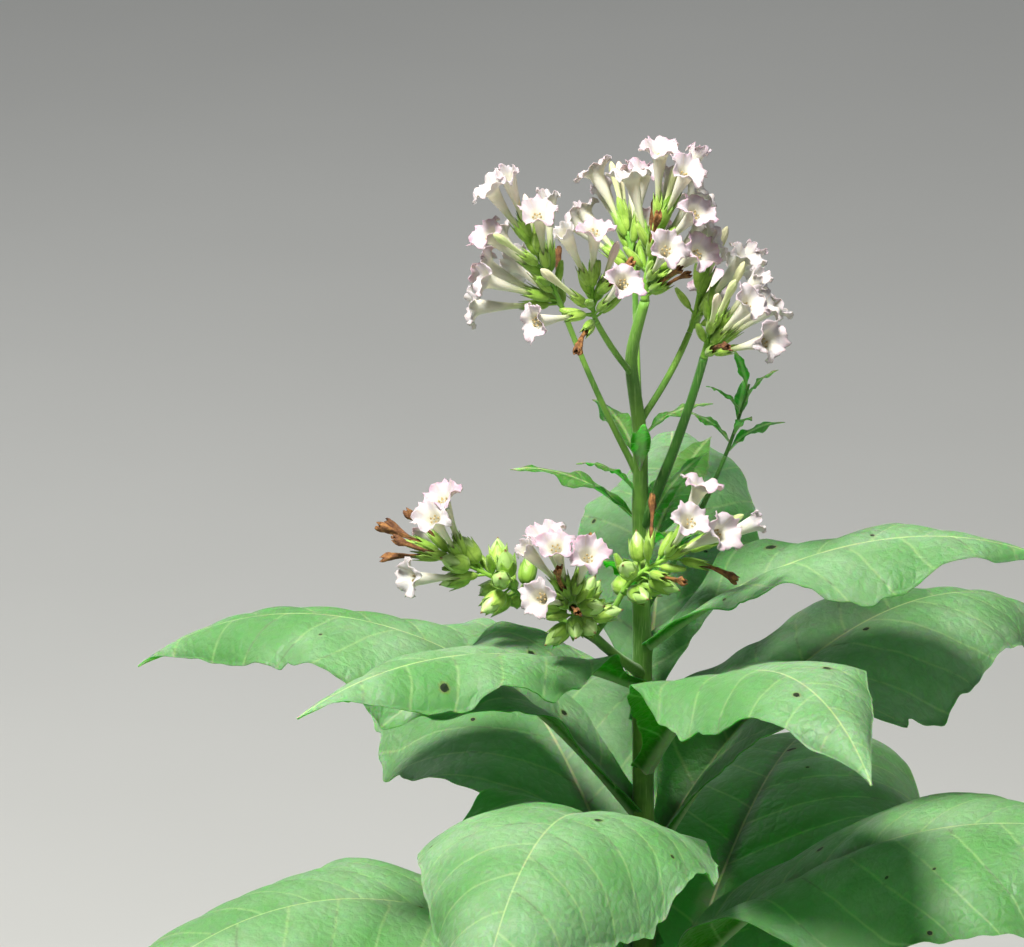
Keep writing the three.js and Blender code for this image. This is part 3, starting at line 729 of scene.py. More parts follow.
def leaf_finish(name, face, deep, old, under, vein, gap):
    """Leaf skin: pale veins with puffed cells between them, greyish above, and deep green below as painted
    shade, since a real underside is paler.
    """
    material, shader, where = finish(name, 0.55, gloss=0.28)
    shader.inputs["Subsurface Weight"].default_value = 1.0
    shader.inputs["Subsurface Radius"].default_value = (0.1, 1.0, 0.04)
    shader.inputs["Subsurface Scale"].default_value = 0.006
    label, (along, across, side) = label_of(material, "blade")
    _, (age, _, _) = label_of(material, "age")
    reach = maths("size", across)
    off = vein_distance(where, along, across, reach, gap)
    side_vein = between(off, 0.0, 0.055, 1.0, 0.0)
    soft_vein = between(off, 0.0, 0.3, 1.0, 0.0)
    narrowing = maths("*", reach, between(along, 0.0, 0.5, 1.0, 2.4))
    rib = between(narrowing, 0.0005, 0.0023, 1.0, 0.0)
    cells = cell_wall(label, 105.0, 0.95)
    net = between(cells, 0.0, 0.14, 1.0, 0.0)
    broad = cloudy(where, 9.0, detail=2.0)
    patch = cloudy(where, 38.0, detail=3.5)
    aged = maths("*", between(patch, 0.4, 0.7), between(age, 0.35, 1.0, 0.0, 0.75))
    # Where painted shade darkens the creases by the side veins.
    crease_shade = between(cloudy(where, 31.0), 0.54, 0.62, 0.0, 0.7)
    upper = painted(
        face,
        (between(broad, 0.35, 0.65), deep),
        (between(patch, 0.35, 0.75, 0.0, 0.6), deep),
        (aged, old),
        (maths("*", net, 0.16), deep),
        # Painted shade: a darker green in the grooves by the side veins, and dark grey-green creases along
        # some of them.
        (maths("*", soft_vein, 0.14), deep),
        (maths("*", side_vein, 0.28), vein),
        (maths("*", side_vein, crease_shade), 0x4f6650),
        (maths("*", rib, between(along, 0.1, 0.5, 0.85, 0.5)), vein),
    )
    # Painted shade: the underside is a deep green, darker than a real underside, for the shade beneath the
    # leaf.
    below = painted(
        under,
        (between(broad, 0.3, 0.7), 0x2f7618),
        (maths("*", net, 0.25), 0x6f9f52),
        (maths("*", side_vein, 0.6), 0x86b46a),
        (between(reach, 0.002, 0.006, 0.9, 0.0), 0x9cc083),
    )
    rim, middle = eaten_spots(where, along, across, age)
    both = mixed(between(side, -0.3, 0.3), below, upper)
    # The dark middles of the eaten spots are painted shade in place of holes.
    skin = painted(both, (rim, 0x7a7038), (middle, 0x16220e))
    puffed = between(cells, 0.0, 0.35)
    fine = between(cell_wall(label, 300.0), 0.0, 0.3)
    dented = cloudy(where, 16.0, detail=1.0)
    height = summed((0.24, puffed), (0.06, fine), (-0.3, soft_vein), (0.5, patch), (1.6, dented))
    height = maths("*", height, between(side, -0.3, 0.3, -1.0, 1.0))
    coat(shader, skin, height, 0.0022, 0.8)
    material.node_tree.links.new(between(patch, 0.3, 0.7, 0.44, 0.62), shader.inputs["Roughness"])
    return material


big_leaf_finish = leaf_finish("leaf skin", 0x81a07b, 0x5b8a52, 0x84924e, 0x3a8f0c, 0xb4c68c, 0.042)


def blade_piece(name, bodies, age, material, slot, node_name):
    """One piece of one or more blades of the same age."""
    points, faces, labels = joined(bodies)
    ages = np.tile([age, 0.0, 0.0], (len(labels), 1))
    place(name, make_mesh(name, points, faces, {"blade": labels, "age": ages}), material, slot, node_name)


for leaf in full_leaves():
    body = leaf_body(leaf, LEAF_ALONG, LEAF_ACROSS, BLADE_THICKNESS, PUFF, QUICK_WAVE_SHARE)
    blade_name = leaf["name"].replace("leaf", "blade")
    blade_piece(blade_name, [body], leaf["age"], big_leaf_finish, "leaf", leaf["name"])


# Small leaves: narrow bracts on the neck, some of them under a branch, and the leafy twig's tuft.
# They are the same soft tissue as the large leaves, but nearly flat and thinner, and painted a darker green
# as shade.
# A small leaf's row: its height on the stalk, the way that it faces, its length and its rise.
SMALL_LEAVES = [
    (1206, 176, 104, 42), (1228, 206, 62, 50), (1243, 268, 62, 76), (1184, 318, 92, 36), (1272, 8, 58, 40),
    (1248, 112, 84, 38), (1166, 62, 150, 44), (1142, 232, 74, 62), (1150, 338, 66, 70), (1192, 24, 80, 66),
]
TUFT_LEAVES = 7
TUFT_LEAF_LENGTH = 52.0
TUFT_LEAN = (0.25, -0.1, 1.0)
TUFT_STEM = 60.0
TUFT_STEM_RADII = (1.6, 0.9)
SMALL_BLADE_THICKNESS = 0.6
CLEARANCE = 0.3  # between a limb's tip and the cluster that it carries
CLUSTER_TURN = 137.5


def small_leaf(name, root, azimuth, length, rise, swerve=8.0):
    return {
        "name": name, "root": root, "azimuth": azimuth, "length": length, "half_share": 0.13,
        "rise": rise, "droop": rise - 50, "swerve": swerve, "roll": 6.0, "fold": 32.0,
        "curl": 40.0, "phase": azimuth, "age": 0.0,
    }


def axis_bend(tip, way, lean, length):
    """A cluster's axis: it leaves its limb's tip straight on and bends towards its lean."""
    start = tip + way * CLEARANCE
    middle = start + way * length * 0.35
    lean = np.array(lean, float)
    return start, middle, middle + lean / np.linalg.norm(lean) * length * 0.65


# A darker copy of the leaf skin, which is painted shade.
small_leaf_finish = leaf_finish("small leaf skin", 0x6d8e4c, 0x4c7238, 0x76904a, 0x3a6c10, 0x9db47c, 0.012)
neck_leaves = [
    small_leaf(f"small_leaf_{i + 1}", stalk_root(z, azimuth), azimuth, length, rise)
    for i, (z, azimuth, length, rise) in enumerate(SMALL_LEAVES)
]
for leaf in neck_leaves:
    body = leaf_body(
        leaf, along_steps=44, across_steps=18, thickness=SMALL_BLADE_THICKNESS, puff=0.5, extra_wave=0.01,
    )
    bract_name = leaf["name"].replace("small_leaf", "bract")
    blade_piece(bract_name, [body], 0.0, small_leaf_finish, "small_leaf", leaf["name"])

twig_bend = limb_bend("leafy_twig")
tuft_axis = axis_bend(bend_point(twig_bend, 1.0), bend_way(twig_bend, 1.0), TUFT_LEAN, TUFT_STEM)
tuft_parts = []
for i in range(TUFT_LEAVES):
    share = 0.12 + 0.83 * i / (TUFT_LEAVES - 1)
    leaf = small_leaf(
        "", root=bend_point(tuft_axis, share), azimuth=CLUSTER_TURN * i + 20,
        length=TUFT_LEAF_LENGTH * (1 - 0.35 * share), rise=38 + 34 * share, swerve=12.0 if i % 2 else -10.0,
    )
    tuft_parts.append(leaf_body(
        leaf, along_steps=36, across_steps=16, thickness=SMALL_BLADE_THICKNESS, puff=0.4, extra_wave=0.012,
    ))
blade_piece("tuft_blades", tuft_parts, 0.0, small_leaf_finish, "small_leaf", "leafy_twig_tuft")
tuft_stem = bent_stem(tuft_axis, rings=20, radii=lambda share: mix(*TUFT_STEM_RADII, share), sides=10)
# The tuft's stem also takes the darker branch skin, as painted shade.
skin_piece("tuft_stem", tuft_stem, "stem", shaded_branch_finish, "branch", "leafy_twig_tuft")


# Where the flowers stand: each cluster grows from its limb's tip, with pods and withered flowers at
# its foot, then open flowers, then buds. A flower that finds no free room is left out.
# A kind's row: distances along the flower with the radius at each, and those of its rim if it has one.
CALYX = [(9, 1.2), (18, 4.1), (27, 2.4)]
PROFILES = {
    "open": ([(-2, 0), *CALYX, (57, 5.0), (70, 16.5), (65, 0)], (70, 16.5)),
    "half": ([(-2, 0), *CALYX, (57, 4.4), (71, 9.5), (66, 0)], (71, 9.5)),
    "bud": ([(-2, 0), *CALYX, (57, 3.4), (68, 0)], None),
    "young": ([(-2, 0), (7, 1.2), (16, 3.4), (29, 0)], None),
    "withered": ([(-2, 0), *CALYX, (53, 3.1), (59, 0)], None),
    "pod": ([(-2, 0), (10, 1.5), (16, 7.2), (26, 6.2), (37, 0)], None),
}
PETALS = 5
TRIES = 40
NEAR_TRIES = 3  # tries near a flower's own place in the spiral, before those all round the axis
NEAR_WANDER = 25
RIM_CORE = 0.62  # the share of a rim's radius that its middle keeps free
CORNER_ROOM = 0.8
ROD_ROOM = 0.8
CELL_ROOM = 0.6
ROD_HEIGHTS = [1060, NECK, 1280, 1310, 1335, 1355, STALK_TOP]
FOOT_TILT = 66.0
POD_FOOT_TILT = 92.0
TIP_TILT = 8.0
TILT_SPREAD = 18.0
DROOP_LIMIT = -0.12
POD_DROOP_LIMIT = -0.6
# A cluster's row: its limb, the lean and length of its axis, its seed, and its kinds from the foot up.
CLUSTERS = {
    "head_top": ("stalk", (0.3, -0.1, 1), 66, 604, [
        ("withered", 2), ("open", 5), ("young", 6), ("withered", 2), ("open", 3), ("half", 1),
        ("young", 4), ("bud", 2), ("open", 2), ("half", 1), ("young", 3),
    ]),
    "head_left": ("branch_left", (-0.4, -0.1, 0.85), 60, 1099, [
        ("withered", 1), ("open", 5), ("young", 4), ("half", 1), ("open", 2), ("bud", 2),
        ("young", 4), ("open", 1), ("half", 1),
    ]),
    "head_right": ("branch_right", (0.1, -0.05, 0.95), 30, 1792, [
        ("withered", 1), ("open", 4), ("young", 3), ("half", 1), ("bud", 3), ("young", 6),
    ]),
    "head_right_inner": ("branch_right_inner", (0.15, 0.35, 0.9), 30, 887, [
        ("withered", 1), ("open", 4), ("young", 2), ("half", 1), ("bud", 2), ("young", 3),
    ]),
    "head_front": ("branch_front", (0.05, -0.15, 1), 34, 882, [
        ("withered", 1), ("young", 3), ("open", 2), ("bud", 2), ("young", 4), ("withered", 1),
        ("open", 1), ("half", 1), ("young", 3),
    ]),
    "head_back": ("branch_back", (-0.2, 0.4, 0.9), 38, 936, [
        ("withered", 1), ("open", 4), ("young", 3), ("half", 1), ("open", 3), ("bud", 2), ("young", 2),
    ]),
    "low_middle": ("low_shoot", (-0.05, -0.5, 0.7), 36, 1959, [
        ("pod", 6), ("young", 3), ("pod", 4), ("open", 2), ("young", 2), ("withered", 3),
        ("open", 2), ("half", 1), ("young", 2),
    ]),
    "low_left": ("low_fork_left", (-0.85, -0.05, 0.4), 82, 258, [
        ("pod", 4), ("young", 2), ("pod", 5), ("young", 2), ("open", 2), ("pod", 3), ("young", 2),
        ("open", 2), ("withered", 5), ("young", 3),
    ]),
    "low_right": ("low_fork_right", (0.88, -0.1, 0.32), 64, 91, [
        ("pod", 3), ("young", 2), ("pod", 4), ("withered", 2), ("young", 3), ("open", 3),
        ("withered", 1), ("bud", 1), ("half", 1), ("young", 2),
    ]),
}


def limb_tip(name):
    if name == "stalk":
        return stalk_centre(STALK_TOP), np.array([0.0, 0.0, 1.0])
    bend = limb_bend(name)
    return bend_point(bend, 1.0), bend_way(bend, 1.0)


def cluster_axis(name):
    limb, lean, length, _, _ = CLUSTERS[name]
    tip, way = limb_tip(limb)
    return axis_bend(tip, way, lean, length)


def flower_turn(way, roll):
    """The rotation that stands a flower, drawn upright along +Z, on its own way."""
    upright = np.array([0.0, 1.0, 0.0])
    axis = np.cross(upright, way)
    cosine = float(np.dot(upright, way))
    skew = np.array([[0, -axis[2], axis[1]], [axis[2], 0, -axis[0]], [-axis[1], axis[0], 0]])
    swing = np.eye(3) + skew + skew @ skew / (1 + cosine)
    spin = np.array([
        [math.cos(roll), 0, math.sin(roll)],
        [0, 1, 0],
        [-math.sin(roll), 0, math.cos(roll)],
    ])
    turned = swing @ spin
    return np.stack([turned[:, 2], turned[:, 0], turned[:, 1]], axis=-1)


def flower_samples(kind, root, way, turn):
    """Points of a flower with the room that each needs: along its axis, and round its rim."""
    profile, rim = PROFILES[kind]
    points = [root + way * distance for distance, _ in profile[2:]]
    rooms = [RIM_CORE * radius if rim and distance == rim[0] else radius for distance, radius in profile[2:]]
    if rim:
        for i in range(PETALS):
            angle = 2 * math.pi * i / PETALS
            corner = np.array([rim[1] * math.cos(angle), rim[1] * math.sin(angle), rim[0]])
            points.append(root + turn @ corner)
            rooms.append(CORNER_ROOM)
    return np.array(points), np.array(rooms)


def rods_along(points, radii):
    return [(points[i], points[i + 1], radii[i]) for i in range(len(points) - 1)]


def obstacles():
    """What flowers keep clear of: the stalk's upper part, the limbs and the small leaves."""
    stalk_radii = [float(stalk_radius(z)) for z in ROD_HEIGHTS]
    rods = rods_along([stalk_centre(z) for z in ROD_HEIGHTS], stalk_radii)
    for name, limb in LIMBS.items():
        bend = limb_bend(name)
        rods += rods_along([bend_point(bend, i / 6) for i in range(7)], [limb[3]] * 6)
    for leaf in neck_leaves:
        points = midrib(leaf, 40)[1][::10]
        rods += rods_along(points, [leaf["length"] * leaf["half_share"]] * 4)
    starts, ends, radii = (np.array([rod[n] for rod in rods]) for n in range(3))
    return starts, ends, radii


HEARTS = {name: bend_point(cluster_axis(name), 0.7) for name in CLUSTERS}


def in_own_cell(points, rooms, name):
    """Each cluster keeps to its own side of the plane half way between its heart and every other's."""
    for other, heart in HEARTS.items():
        if other == name:
            continue
        away = heart - HEARTS[name]
        half = np.linalg.norm(away) / 2
        if np.any((points - HEARTS[name]) @ (away / (2 * half)) + rooms >= half - CELL_ROOM):
            return False
    return True


def clear_of_rods(points, rooms, rods):
    starts, ends, radii = rods
    run = ends - starts
    share = np.einsum("prk,rk->pr", points[:, None] - starts[None], run) / np.sum(run * run, axis=1)
    nearest = starts[None] + np.clip(share, 0, 1)[..., None] * run[None]
    gap = np.linalg.norm(points[:, None] - nearest, axis=-1)
    return bool(np.all(gap > rooms[:, None] + radii[None] + ROD_ROOM))


def clear_of_flowers(points, rooms, placed):
    """The first point lies among the crowded feet, so it may touch."""
    for other in placed:
        gap = np.linalg.norm(points[1:, None] - other["points"][None, 1:], axis=-1)
        if np.any(gap <= rooms[1:, None] + other["rooms"][None, 1:]):
            return False
    return True


def grow_flowers(name, rods):
    """Flowers turn round the axis in a spiral. One that finds no room in TRIES goes is left out."""
    _, _, _, seed, kinds = CLUSTERS[name]
    random = seeded(seed)
    axis = cluster_axis(name)
    order = [kind for kind, count in kinds for _ in range(count)]
    foot_tilt = POD_FOOT_TILT if "pod" in order else FOOT_TILT
    placed = []
    for i, kind in enumerate(order):
        share = 0.06 + 0.94 * i / (len(order) - 1)
        tilt = mix(foot_tilt, TIP_TILT, share)
        for attempt in range(TRIES):
            wander = NEAR_WANDER if attempt < NEAR_TRIES else 180
            turn = math.radians(CLUSTER_TURN * i + (2 * random() - 1) * wander)
            lean = math.radians(tilt + (2 * random() - 1) * TILT_SPREAD)
            roll = random() * 2 * math.pi
            along = bend_way(axis, share)
            side = np.cross(along, [0.9, 0.3, 0.1])
            side /= np.linalg.norm(side)
            out = side * math.cos(turn) + np.cross(along, side) * math.sin(turn)
            way = along * math.cos(lean) + out * math.sin(lean)
            root = bend_point(axis, share)
            matrix = flower_turn(way, roll)
            points, rooms = flower_samples(kind, root, way, matrix)
            lowest = POD_DROOP_LIMIT if kind == "pod" else DROOP_LIMIT
            if (
                way[2] > lowest
                and in_own_cell(points, rooms, name)
                and clear_of_rods(points, rooms, rods)
                and clear_of_flowers(points, rooms, placed)
            ):
                placed.append({
                    "kind": kind, "root": root, "way": way, "turn": matrix, "points": points,
                    "rooms": rooms, "cluster": name,
                })
                break
    return placed


all_rods = obstacles()
flowers = [flower for name in CLUSTERS for flower in grow_flowers(name, all_rods)]


# Flower stems: each cluster's axis and the short stalk of every flower on it. They are fresh green,
# round and downy, and grow straight on from the branch.
AXIS_TIP = 1.3
POD_STEM = 11.5
FLOWER_STEM = 9.5
stem_parts = []
for name, (limb, _, _, _, _) in CLUSTERS.items():
    foot = float(stalk_radius(STALK_TOP)) * 0.9 if limb == "stalk" else LIMBS[limb][4]
    stem_parts.append(bent_stem(
        cluster_axis(name), rings=18, radii=lambda share: mix(foot, AXIS_TIP, share), sides=12,
    ))
share = np.linspace(0, 1, 6)
for flower in flowers:
    reach = POD_STEM if flower["kind"] == "pod" else FLOWER_STEM
    centres = flower["root"] + flower["way"] * (share * reach)[:, None]
    ways = np.tile(flower["way"], (len(share), 1))
    stem_parts.append(round_stem(centres, ways, radii=0.85 + 0.35 * share**2, sides=8))
flower_stem_finish = stem_finish("flower stem skin", 0x7db335, 0x93c444, 0x689f2b)
skin_piece("flower_stems", joined(stem_parts), "stem", flower_stem_finish, "branch", *CLUSTERS)


# Calyces: a green cup with five pointed teeth round the foot of every flower, pod and bud. The
# geometry nodes here stand one of a few drawn shapes on each twig's end, for this and all later parts.
CALYX_FOOT = 8.6


def five_corners(sides):
    """Angles round a flower, with how near each is to one of its five corners, from 0 to 1."""
    angle = angles_round(sides)
    return angle, np.abs((angle * PETALS / (2 * math.pi)) % 1.0 - 0.5) * 2


def turned_shape(rings, sides, twist=0.0):
    """A closed shape round +Z from rings of distance and radius, and where they aren't 0 of teeth and
    frill. teeth lengthens and frill widens a ring towards the five corners."""
    angle, corner = five_corners(sides)
    points = []
    for i, ring in enumerate(rings):
        distance, radius, teeth, frill = (*ring, 0, 0)[:4]
        wide = radius + frill * corner**1.35
        turned = angle + twist * i / len(rings)
        high = distance + teeth * corner**1.5
        points.append(np.stack([wide * np.cos(turned), wide * np.sin(turned), high], axis=-1))
    foot, tip = rings[0][0], rings[-1][0]
    points = np.concatenate([*points, [[0.0, 0.0, foot]], [[0.0, 0.0, tip]]])
    share = np.repeat(np.arange(len(rings)) / (len(rings) - 1), sides)
    labels = np.stack([points[:-2, 2] * MM, share, np.tile(corner, len(rings))], axis=-1)
    ends = [[foot * MM, 0.0, 0.0], [tip * MM, 1.0, 0.0]]
    return points, capped_faces(len(rings), sides), np.concatenate([labels, ends])


def standing_tree():
    """Geometry nodes: each point carries one shape, turned and sized by the point's own values."""
    tree = bpy.data.node_groups.new("stand_on_twig_ends", "GeometryNodeTree")
    tree.is_modifier = True
    for name, kind in [("Geometry", "Geometry"), ("Shapes", "Collection"), ("Finish", "Material")]:
        tree.interface.new_socket(name, in_out="INPUT", socket_type="NodeSocket" + kind)
    tree.interface.new_socket("Geometry", in_out="OUTPUT", socket_type="NodeSocketGeometry")

    def carried(name, kind):
        made = node(tree, "GeometryNodeInputNamedAttribute", {"Name": name}, data_type=kind)
        return made.outputs["Attribute"]

    given = node(tree, "NodeGroupInput")
    turn = node(tree, "FunctionNodeEulerToRotation", {0: carried("turn", "FLOAT_VECTOR")})
    shapes = node(tree, "GeometryNodeCollectionInfo", {
        "Collection": given.outputs["Shapes"],
        "Separate Children": True,
        "Reset Children": True,
    })
    stood = node(tree, "GeometryNodeInstanceOnPoints", {
        "Points": given.outputs["Geometry"],
        "Instance": shapes.outputs["Instances"],
        "Pick Instance": True,
        "Instance Index": carried("choice", "INT"),
        "Rotation": turn.outputs[0],
        "Scale": carried("size", "FLOAT"),
    })
    solid = node(tree, "GeometryNodeRealizeInstances", {"Geometry": stood.outputs["Instances"]})
    dressed = node(tree, "GeometryNodeSetMaterial", {
        "Geometry": solid.outputs["Geometry"],
        "Material": given.outputs["Finish"],
    })
    node(tree, "NodeGroupOutput", {"Geometry": dressed.outputs["Geometry"]})
    return tree


STANDING = standing_tree()


def socket_id(tree, name):
    for item in tree.interface.items_tree:
        if item.name == name and item.in_out == "INPUT":
            return item.identifier


def stand_shapes(name, standing, shapes, material, seed, size_spread=0.0):
    """One piece with a copy of one of the shapes on each flower of standing."""
    drawer = bpy.data.collections.new(name + "_shapes")
    bpy.context.scene.collection.children.link(drawer)
    for i, (points, faces, labels) in enumerate(shapes):
        shape_name = f"{name}_shape_{i}"
        shape_mesh = make_mesh(shape_name, points, faces, {"part": labels})
        drawer.objects.link(bpy.data.objects.new(shape_name, shape_mesh))
    random = seeded(seed)
    dots = bpy.data.meshes.new(name + "_dots")
    dots.vertices.add(len(standing))
    dots.vertices.foreach_set("co", np.array([flower["root"] * MM for flower in standing]).ravel())
    turns = [list(Matrix(flower["turn"].tolist()).to_euler("XYZ")) for flower in standing]
    carried = {
        "turn": ("FLOAT_VECTOR", "vector", np.ravel(turns)),
        "choice": ("INT", "value", [int(random() * len(shapes)) for _ in standing]),
        "size": ("FLOAT", "value", [1 - size_spread * random() for _ in standing]),
        "tint": ("FLOAT", "value", [random() for _ in standing]),
    }
    for key, (kind, field, values) in carried.items():
        dots.attributes.new(key, kind, "POINT").data.foreach_set(field, values)
    holder = bpy.data.objects.new(name + "_dots", dots)
    bpy.context.scene.collection.objects.link(holder)
    grower = holder.modifiers.new("stand", "NODES")
    grower.node_group = STANDING
    grower[socket_id(STANDING, "Shapes")] = drawer
    grower[socket_id(STANDING, "Finish")] = material
    bpy.context.view_layer.update()
    graph = bpy.context.evaluated_depsgraph_get()
    mesh = bpy.data.meshes.new_from_object(holder.evaluated_get(graph), depsgraph=graph)
    mesh.name = name
    mesh.shade_smooth()
    for thing in [holder, *drawer.objects]:
        bpy.data.objects.remove(thing)
    bpy.data.collections.remove(drawer)
    place(name, mesh, None, "flower", *sorted({flower["cluster"] for flower in standing}))


def kinds_of(*kinds):
    return [flower for flower in flowers if flower["kind"] in kinds]


def part_finish(name, rough, sheen=0.0, gloss=0.5):
    """A finish for a flower's part, with the numbers of its points' labels and each flower's own tint."""
    material, shader, where = finish(name, rough, sheen, gloss)
    _, numbers = label_of(material, "part")
    tint = node(material.node_tree, "ShaderNodeAttribute", attribute_name="tint").outputs["Fac"]
    return material, shader, where, numbers, tint


def calyx_shape(wide, tooth, splay):
    foot = CALYX_FOOT
    rings = [
        (foot, 1.0), (foot + 0.9, wide * 0.52), (foot + 3.2, wide * 0.84),
        (foot + 7.5, wide, 0, 0.15), (foot + 11.5, wide * 0.97, tooth * 0.05, 0.25),
        (foot + 13.5, wide * 0.9, tooth * 0.4, 0.2 + 0.3 * splay),
        (foot + 14.2, wide * 0.84, tooth, splay), (foot + 14.0, wide * 0.76, tooth * 0.97, splay),
        (foot + 12.0, wide * 0.78, tooth * 0.1), (foot + 8.0, wide * 0.4),
    ]
    return turned_shape(rings, 20)


def calyx_finish():
    """Fresh green cup with darker ribs and tooth tips, slightly sticky and downy."""
    material, shader, where, (high, _, corner), tint = part_finish("calyx skin", 0.48, sheen=0.2)
    skin = painted(
        0x86b238,
        (tint, 0xaecf58),
        (between(cloudy(where, 180.0), 0.4, 0.65, 0.0, 0.6), 0x6f9a26),
        (between(corner, 0.75, 1.0, 0.0, 0.45), 0x557f18),
        (between(high, 0.024, 0.031, 0.0, 0.6), 0x5d8c22),
    )
    coat(shader, skin, cloudy(where, 1400.0, detail=2.0), 0.0004, 0.6)
    return material


calyx_skin = calyx_finish()
in_cup = kinds_of("open", "half", "bud", "withered")
cups = [calyx_shape(wide=3.9, tooth=8.4, splay=0.1), calyx_shape(wide=3.7, tooth=9.6, splay=0.7)]
stand_shapes("calyces", in_cup, cups, calyx_skin, seed=101)
young_shape = turned_shape([
    (6.8, 0.9), (8.0, 2.0), (11.5, 3.0, 0, 0.1), (16.0, 3.4, 0, 0.2), (20.5, 2.9, 0.6, 0.2),
    (24.0, 2.0, 1.8, 0.2), (26.4, 1.0, 1.8, 0.1), (27.2, 0.4, 0.8),
], 15, twist=0.5)
stand_shapes("young_buds", kinds_of("young"), [young_shape], calyx_skin, seed=103, size_spread=0.15)


# Corollas: long pale tubes that open into five spread, ruffled petals with pointed, pink-flushed
# tips. The tissue is thin and soft. Each slips out of its calyx, and half-open ones are narrower.
TUBE = [
    (20, 1.6), (26, 1.9), (32, 2.1), (38, 2.5), (43, 3.1), (48, 3.9), (52, 4.5), (56, 5.0), (59.6, 5.7),
]
THROAT = [(59.0, 5.0), (55.0, 4.2), (49, 3.0), (43, 1.9), (38, 0.8)]
PETAL_FOOT = 60.5
PETAL_STEPS = (0.07, 0.18, 0.32, 0.48, 0.64, 0.8, 0.93)
PETAL_THICKNESS = 0.45
LOBE_LIFT = 7.0
TUBE_BEND = 5.0
ANY_TURN = 6.28  # radians, for random phases


def corolla_shape(mouth, rim, rim_at, seed, sides):
    """Outside up the tube and out to the petals' tips, then back over them and down the throat."""
    random = seeded(seed)
    angle, corner = five_corners(sides)
    phase = random() * ANY_TURN
    lobe_lift = np.array([(random() - 0.55) * LOBE_LIFT for _ in range(PETALS)])
    lobe_reach = np.array([1.04 - 0.16 * random() for _ in range(PETALS)])
    lobe_of = np.round(angle * PETALS / (2 * math.pi)).astype(int) % PETALS
    bend = TUBE_BEND * (random() - 0.5)
    slant = 0.22 * np.cos(angle - random() * ANY_TURN)
    waves = 1.3 * np.sin(10 * angle + phase) + 0.9 * np.sin(15 * angle + 2 * phase)
    ragged = 0.05 * np.sin(15 * angle + 3 * phase) + 0.03 * np.sin(20 * angle + phase)
    rings, labels = [], []

    def add(distance, radius, spread):
        """spread is 0 on the tube and 1 at the petals' edge."""
        reach = mix(1.0, lobe_reach[lobe_of], corner) + ragged
        wide = radius * (1 - spread * 0.3 * (1 - corner**1.1)) * mix(1.0, reach, spread**2)
        pleat = spread * 2.3 * np.cos(PETALS * angle + math.pi)
        lift = spread**1.5 * lobe_lift[lobe_of] * corner - 2.4 * spread**4
        high = distance + pleat + spread**2 * waves + lift + slant * spread * wide
        across = bend * np.clip((distance - 24) / 40, 0, 1) ** 2
        wide = np.maximum(wide, 0.3)
        rings.append(np.stack([wide * np.cos(angle) + across, wide * np.sin(angle), high], axis=-1))
        labels.append(np.stack([np.full(sides, distance * MM), np.full(sides, spread), corner], axis=-1))

    for distance, radius in TUBE:
        add(distance, min(radius, mouth * (0.8 + 0.2 * distance / 60)), 0.0)
    for step in PETAL_STEPS:
        add(mix(PETAL_FOOT, rim_at, step**0.62) - PETAL_THICKNESS, mix(mouth, rim, step), step)
    add(rim_at - 0.2, rim, 1.0)
    for step in reversed(PETAL_STEPS):
        add(mix(PETAL_FOOT, rim_at, step**0.62), mix(mouth, rim, step) - 0.25, step)
    for distance, radius in THROAT:
        add(distance, radius, 0.0)
    points = np.concatenate([*rings, [[0, 0, 20.0]], [[bend * 0.12, 0, 37.6]]])
    labels = np.concatenate([*labels, [[0.02, 0, 0]], [[0.0376, 0, 0]]])
    return points, capped_faces(len(rings), sides), labels


def petal_finish():
    """White petals flushed pink towards their tips, with painted shade along the folds between them, and a
    tube that is green at its foot and cream above.
    """
    made = part_finish("petal skin", 0.55, sheen=0.15, gloss=0.3)
    material, shader, where, (along, spread, corner), tint = made
    tube = painted(0xc4ce96, (between(along, 0.026, 0.05), 0xdcd8c8))
    flush = between(cloudy(where, 160.0), 0.3, 0.7, 0.35, 1.0)
    flush = maths("*", between(spread, 0.35, 1.0), flush)
    flush = maths("*", flush, between(tint, 0.0, 1.0, 0.35, 1.0))
    petals = painted(
        0xc6c4c1,
        (tint, 0xc6bac0),
        (flush, 0xbf94aa),
        # Painted shade: a darker beige along the folds that run from the throat to the notches between the
        # petals.
        (between(corner, 0.0, 0.14, 0.5, 0.0), 0xc6b6a4),
        (between(corner, 0.9, 1.0, 0.0, 0.3), 0xc8aeb0),
    )
    skin = mixed(between(spread, 0.0, 0.3), tube, petals)
    coat(shader, skin, cloudy(where, 700.0), 0.0005, 0.5)
    shader.inputs["Subsurface Weight"].default_value = 0.7
    shader.inputs["Subsurface Radius"].default_value = (1.0, 0.9, 0.8)
    shader.inputs["Subsurface Scale"].default_value = 0.0015
    return material


petal_skin = petal_finish()
open_flowers = kinds_of("open")
open_shapes = [
    corolla_shape(mouth=6.2, rim=18.0, rim_at=70.0, seed=seed, sides=50) for seed in (3, 8, 14, 21, 33)
]
stand_shapes("open_corollas", open_flowers, open_shapes, petal_skin, seed=107, size_spread=0.06)
half_shapes = [corolla_shape(mouth=5.6, rim=10.5, rim_at=71.0, seed=seed, sides=40) for seed in (5, 17)]
stand_shapes("half_open_corollas", kinds_of("half"), half_shapes, petal_skin, seed=109, size_spread=0.05)


# Buds: closed corollas before they open, a cream tube with a swollen, pleated tip that is twisted
# shut and turns from green to pinkish white. Each stands in its calyx.
bud_shape = turned_shape([
    (20, 1.6), (28, 1.8), (37, 1.9), (45, 2.2, 0, 0.1), (51, 2.8, 0, 0.2),
    (56, 3.2, 0, 0.4), (60, 3.0, 0, 0.5), (63.5, 2.1, 0, 0.5), (66, 0.9, 0, 0.3), (66.8, 0.3),
], 20, twist=1.6)


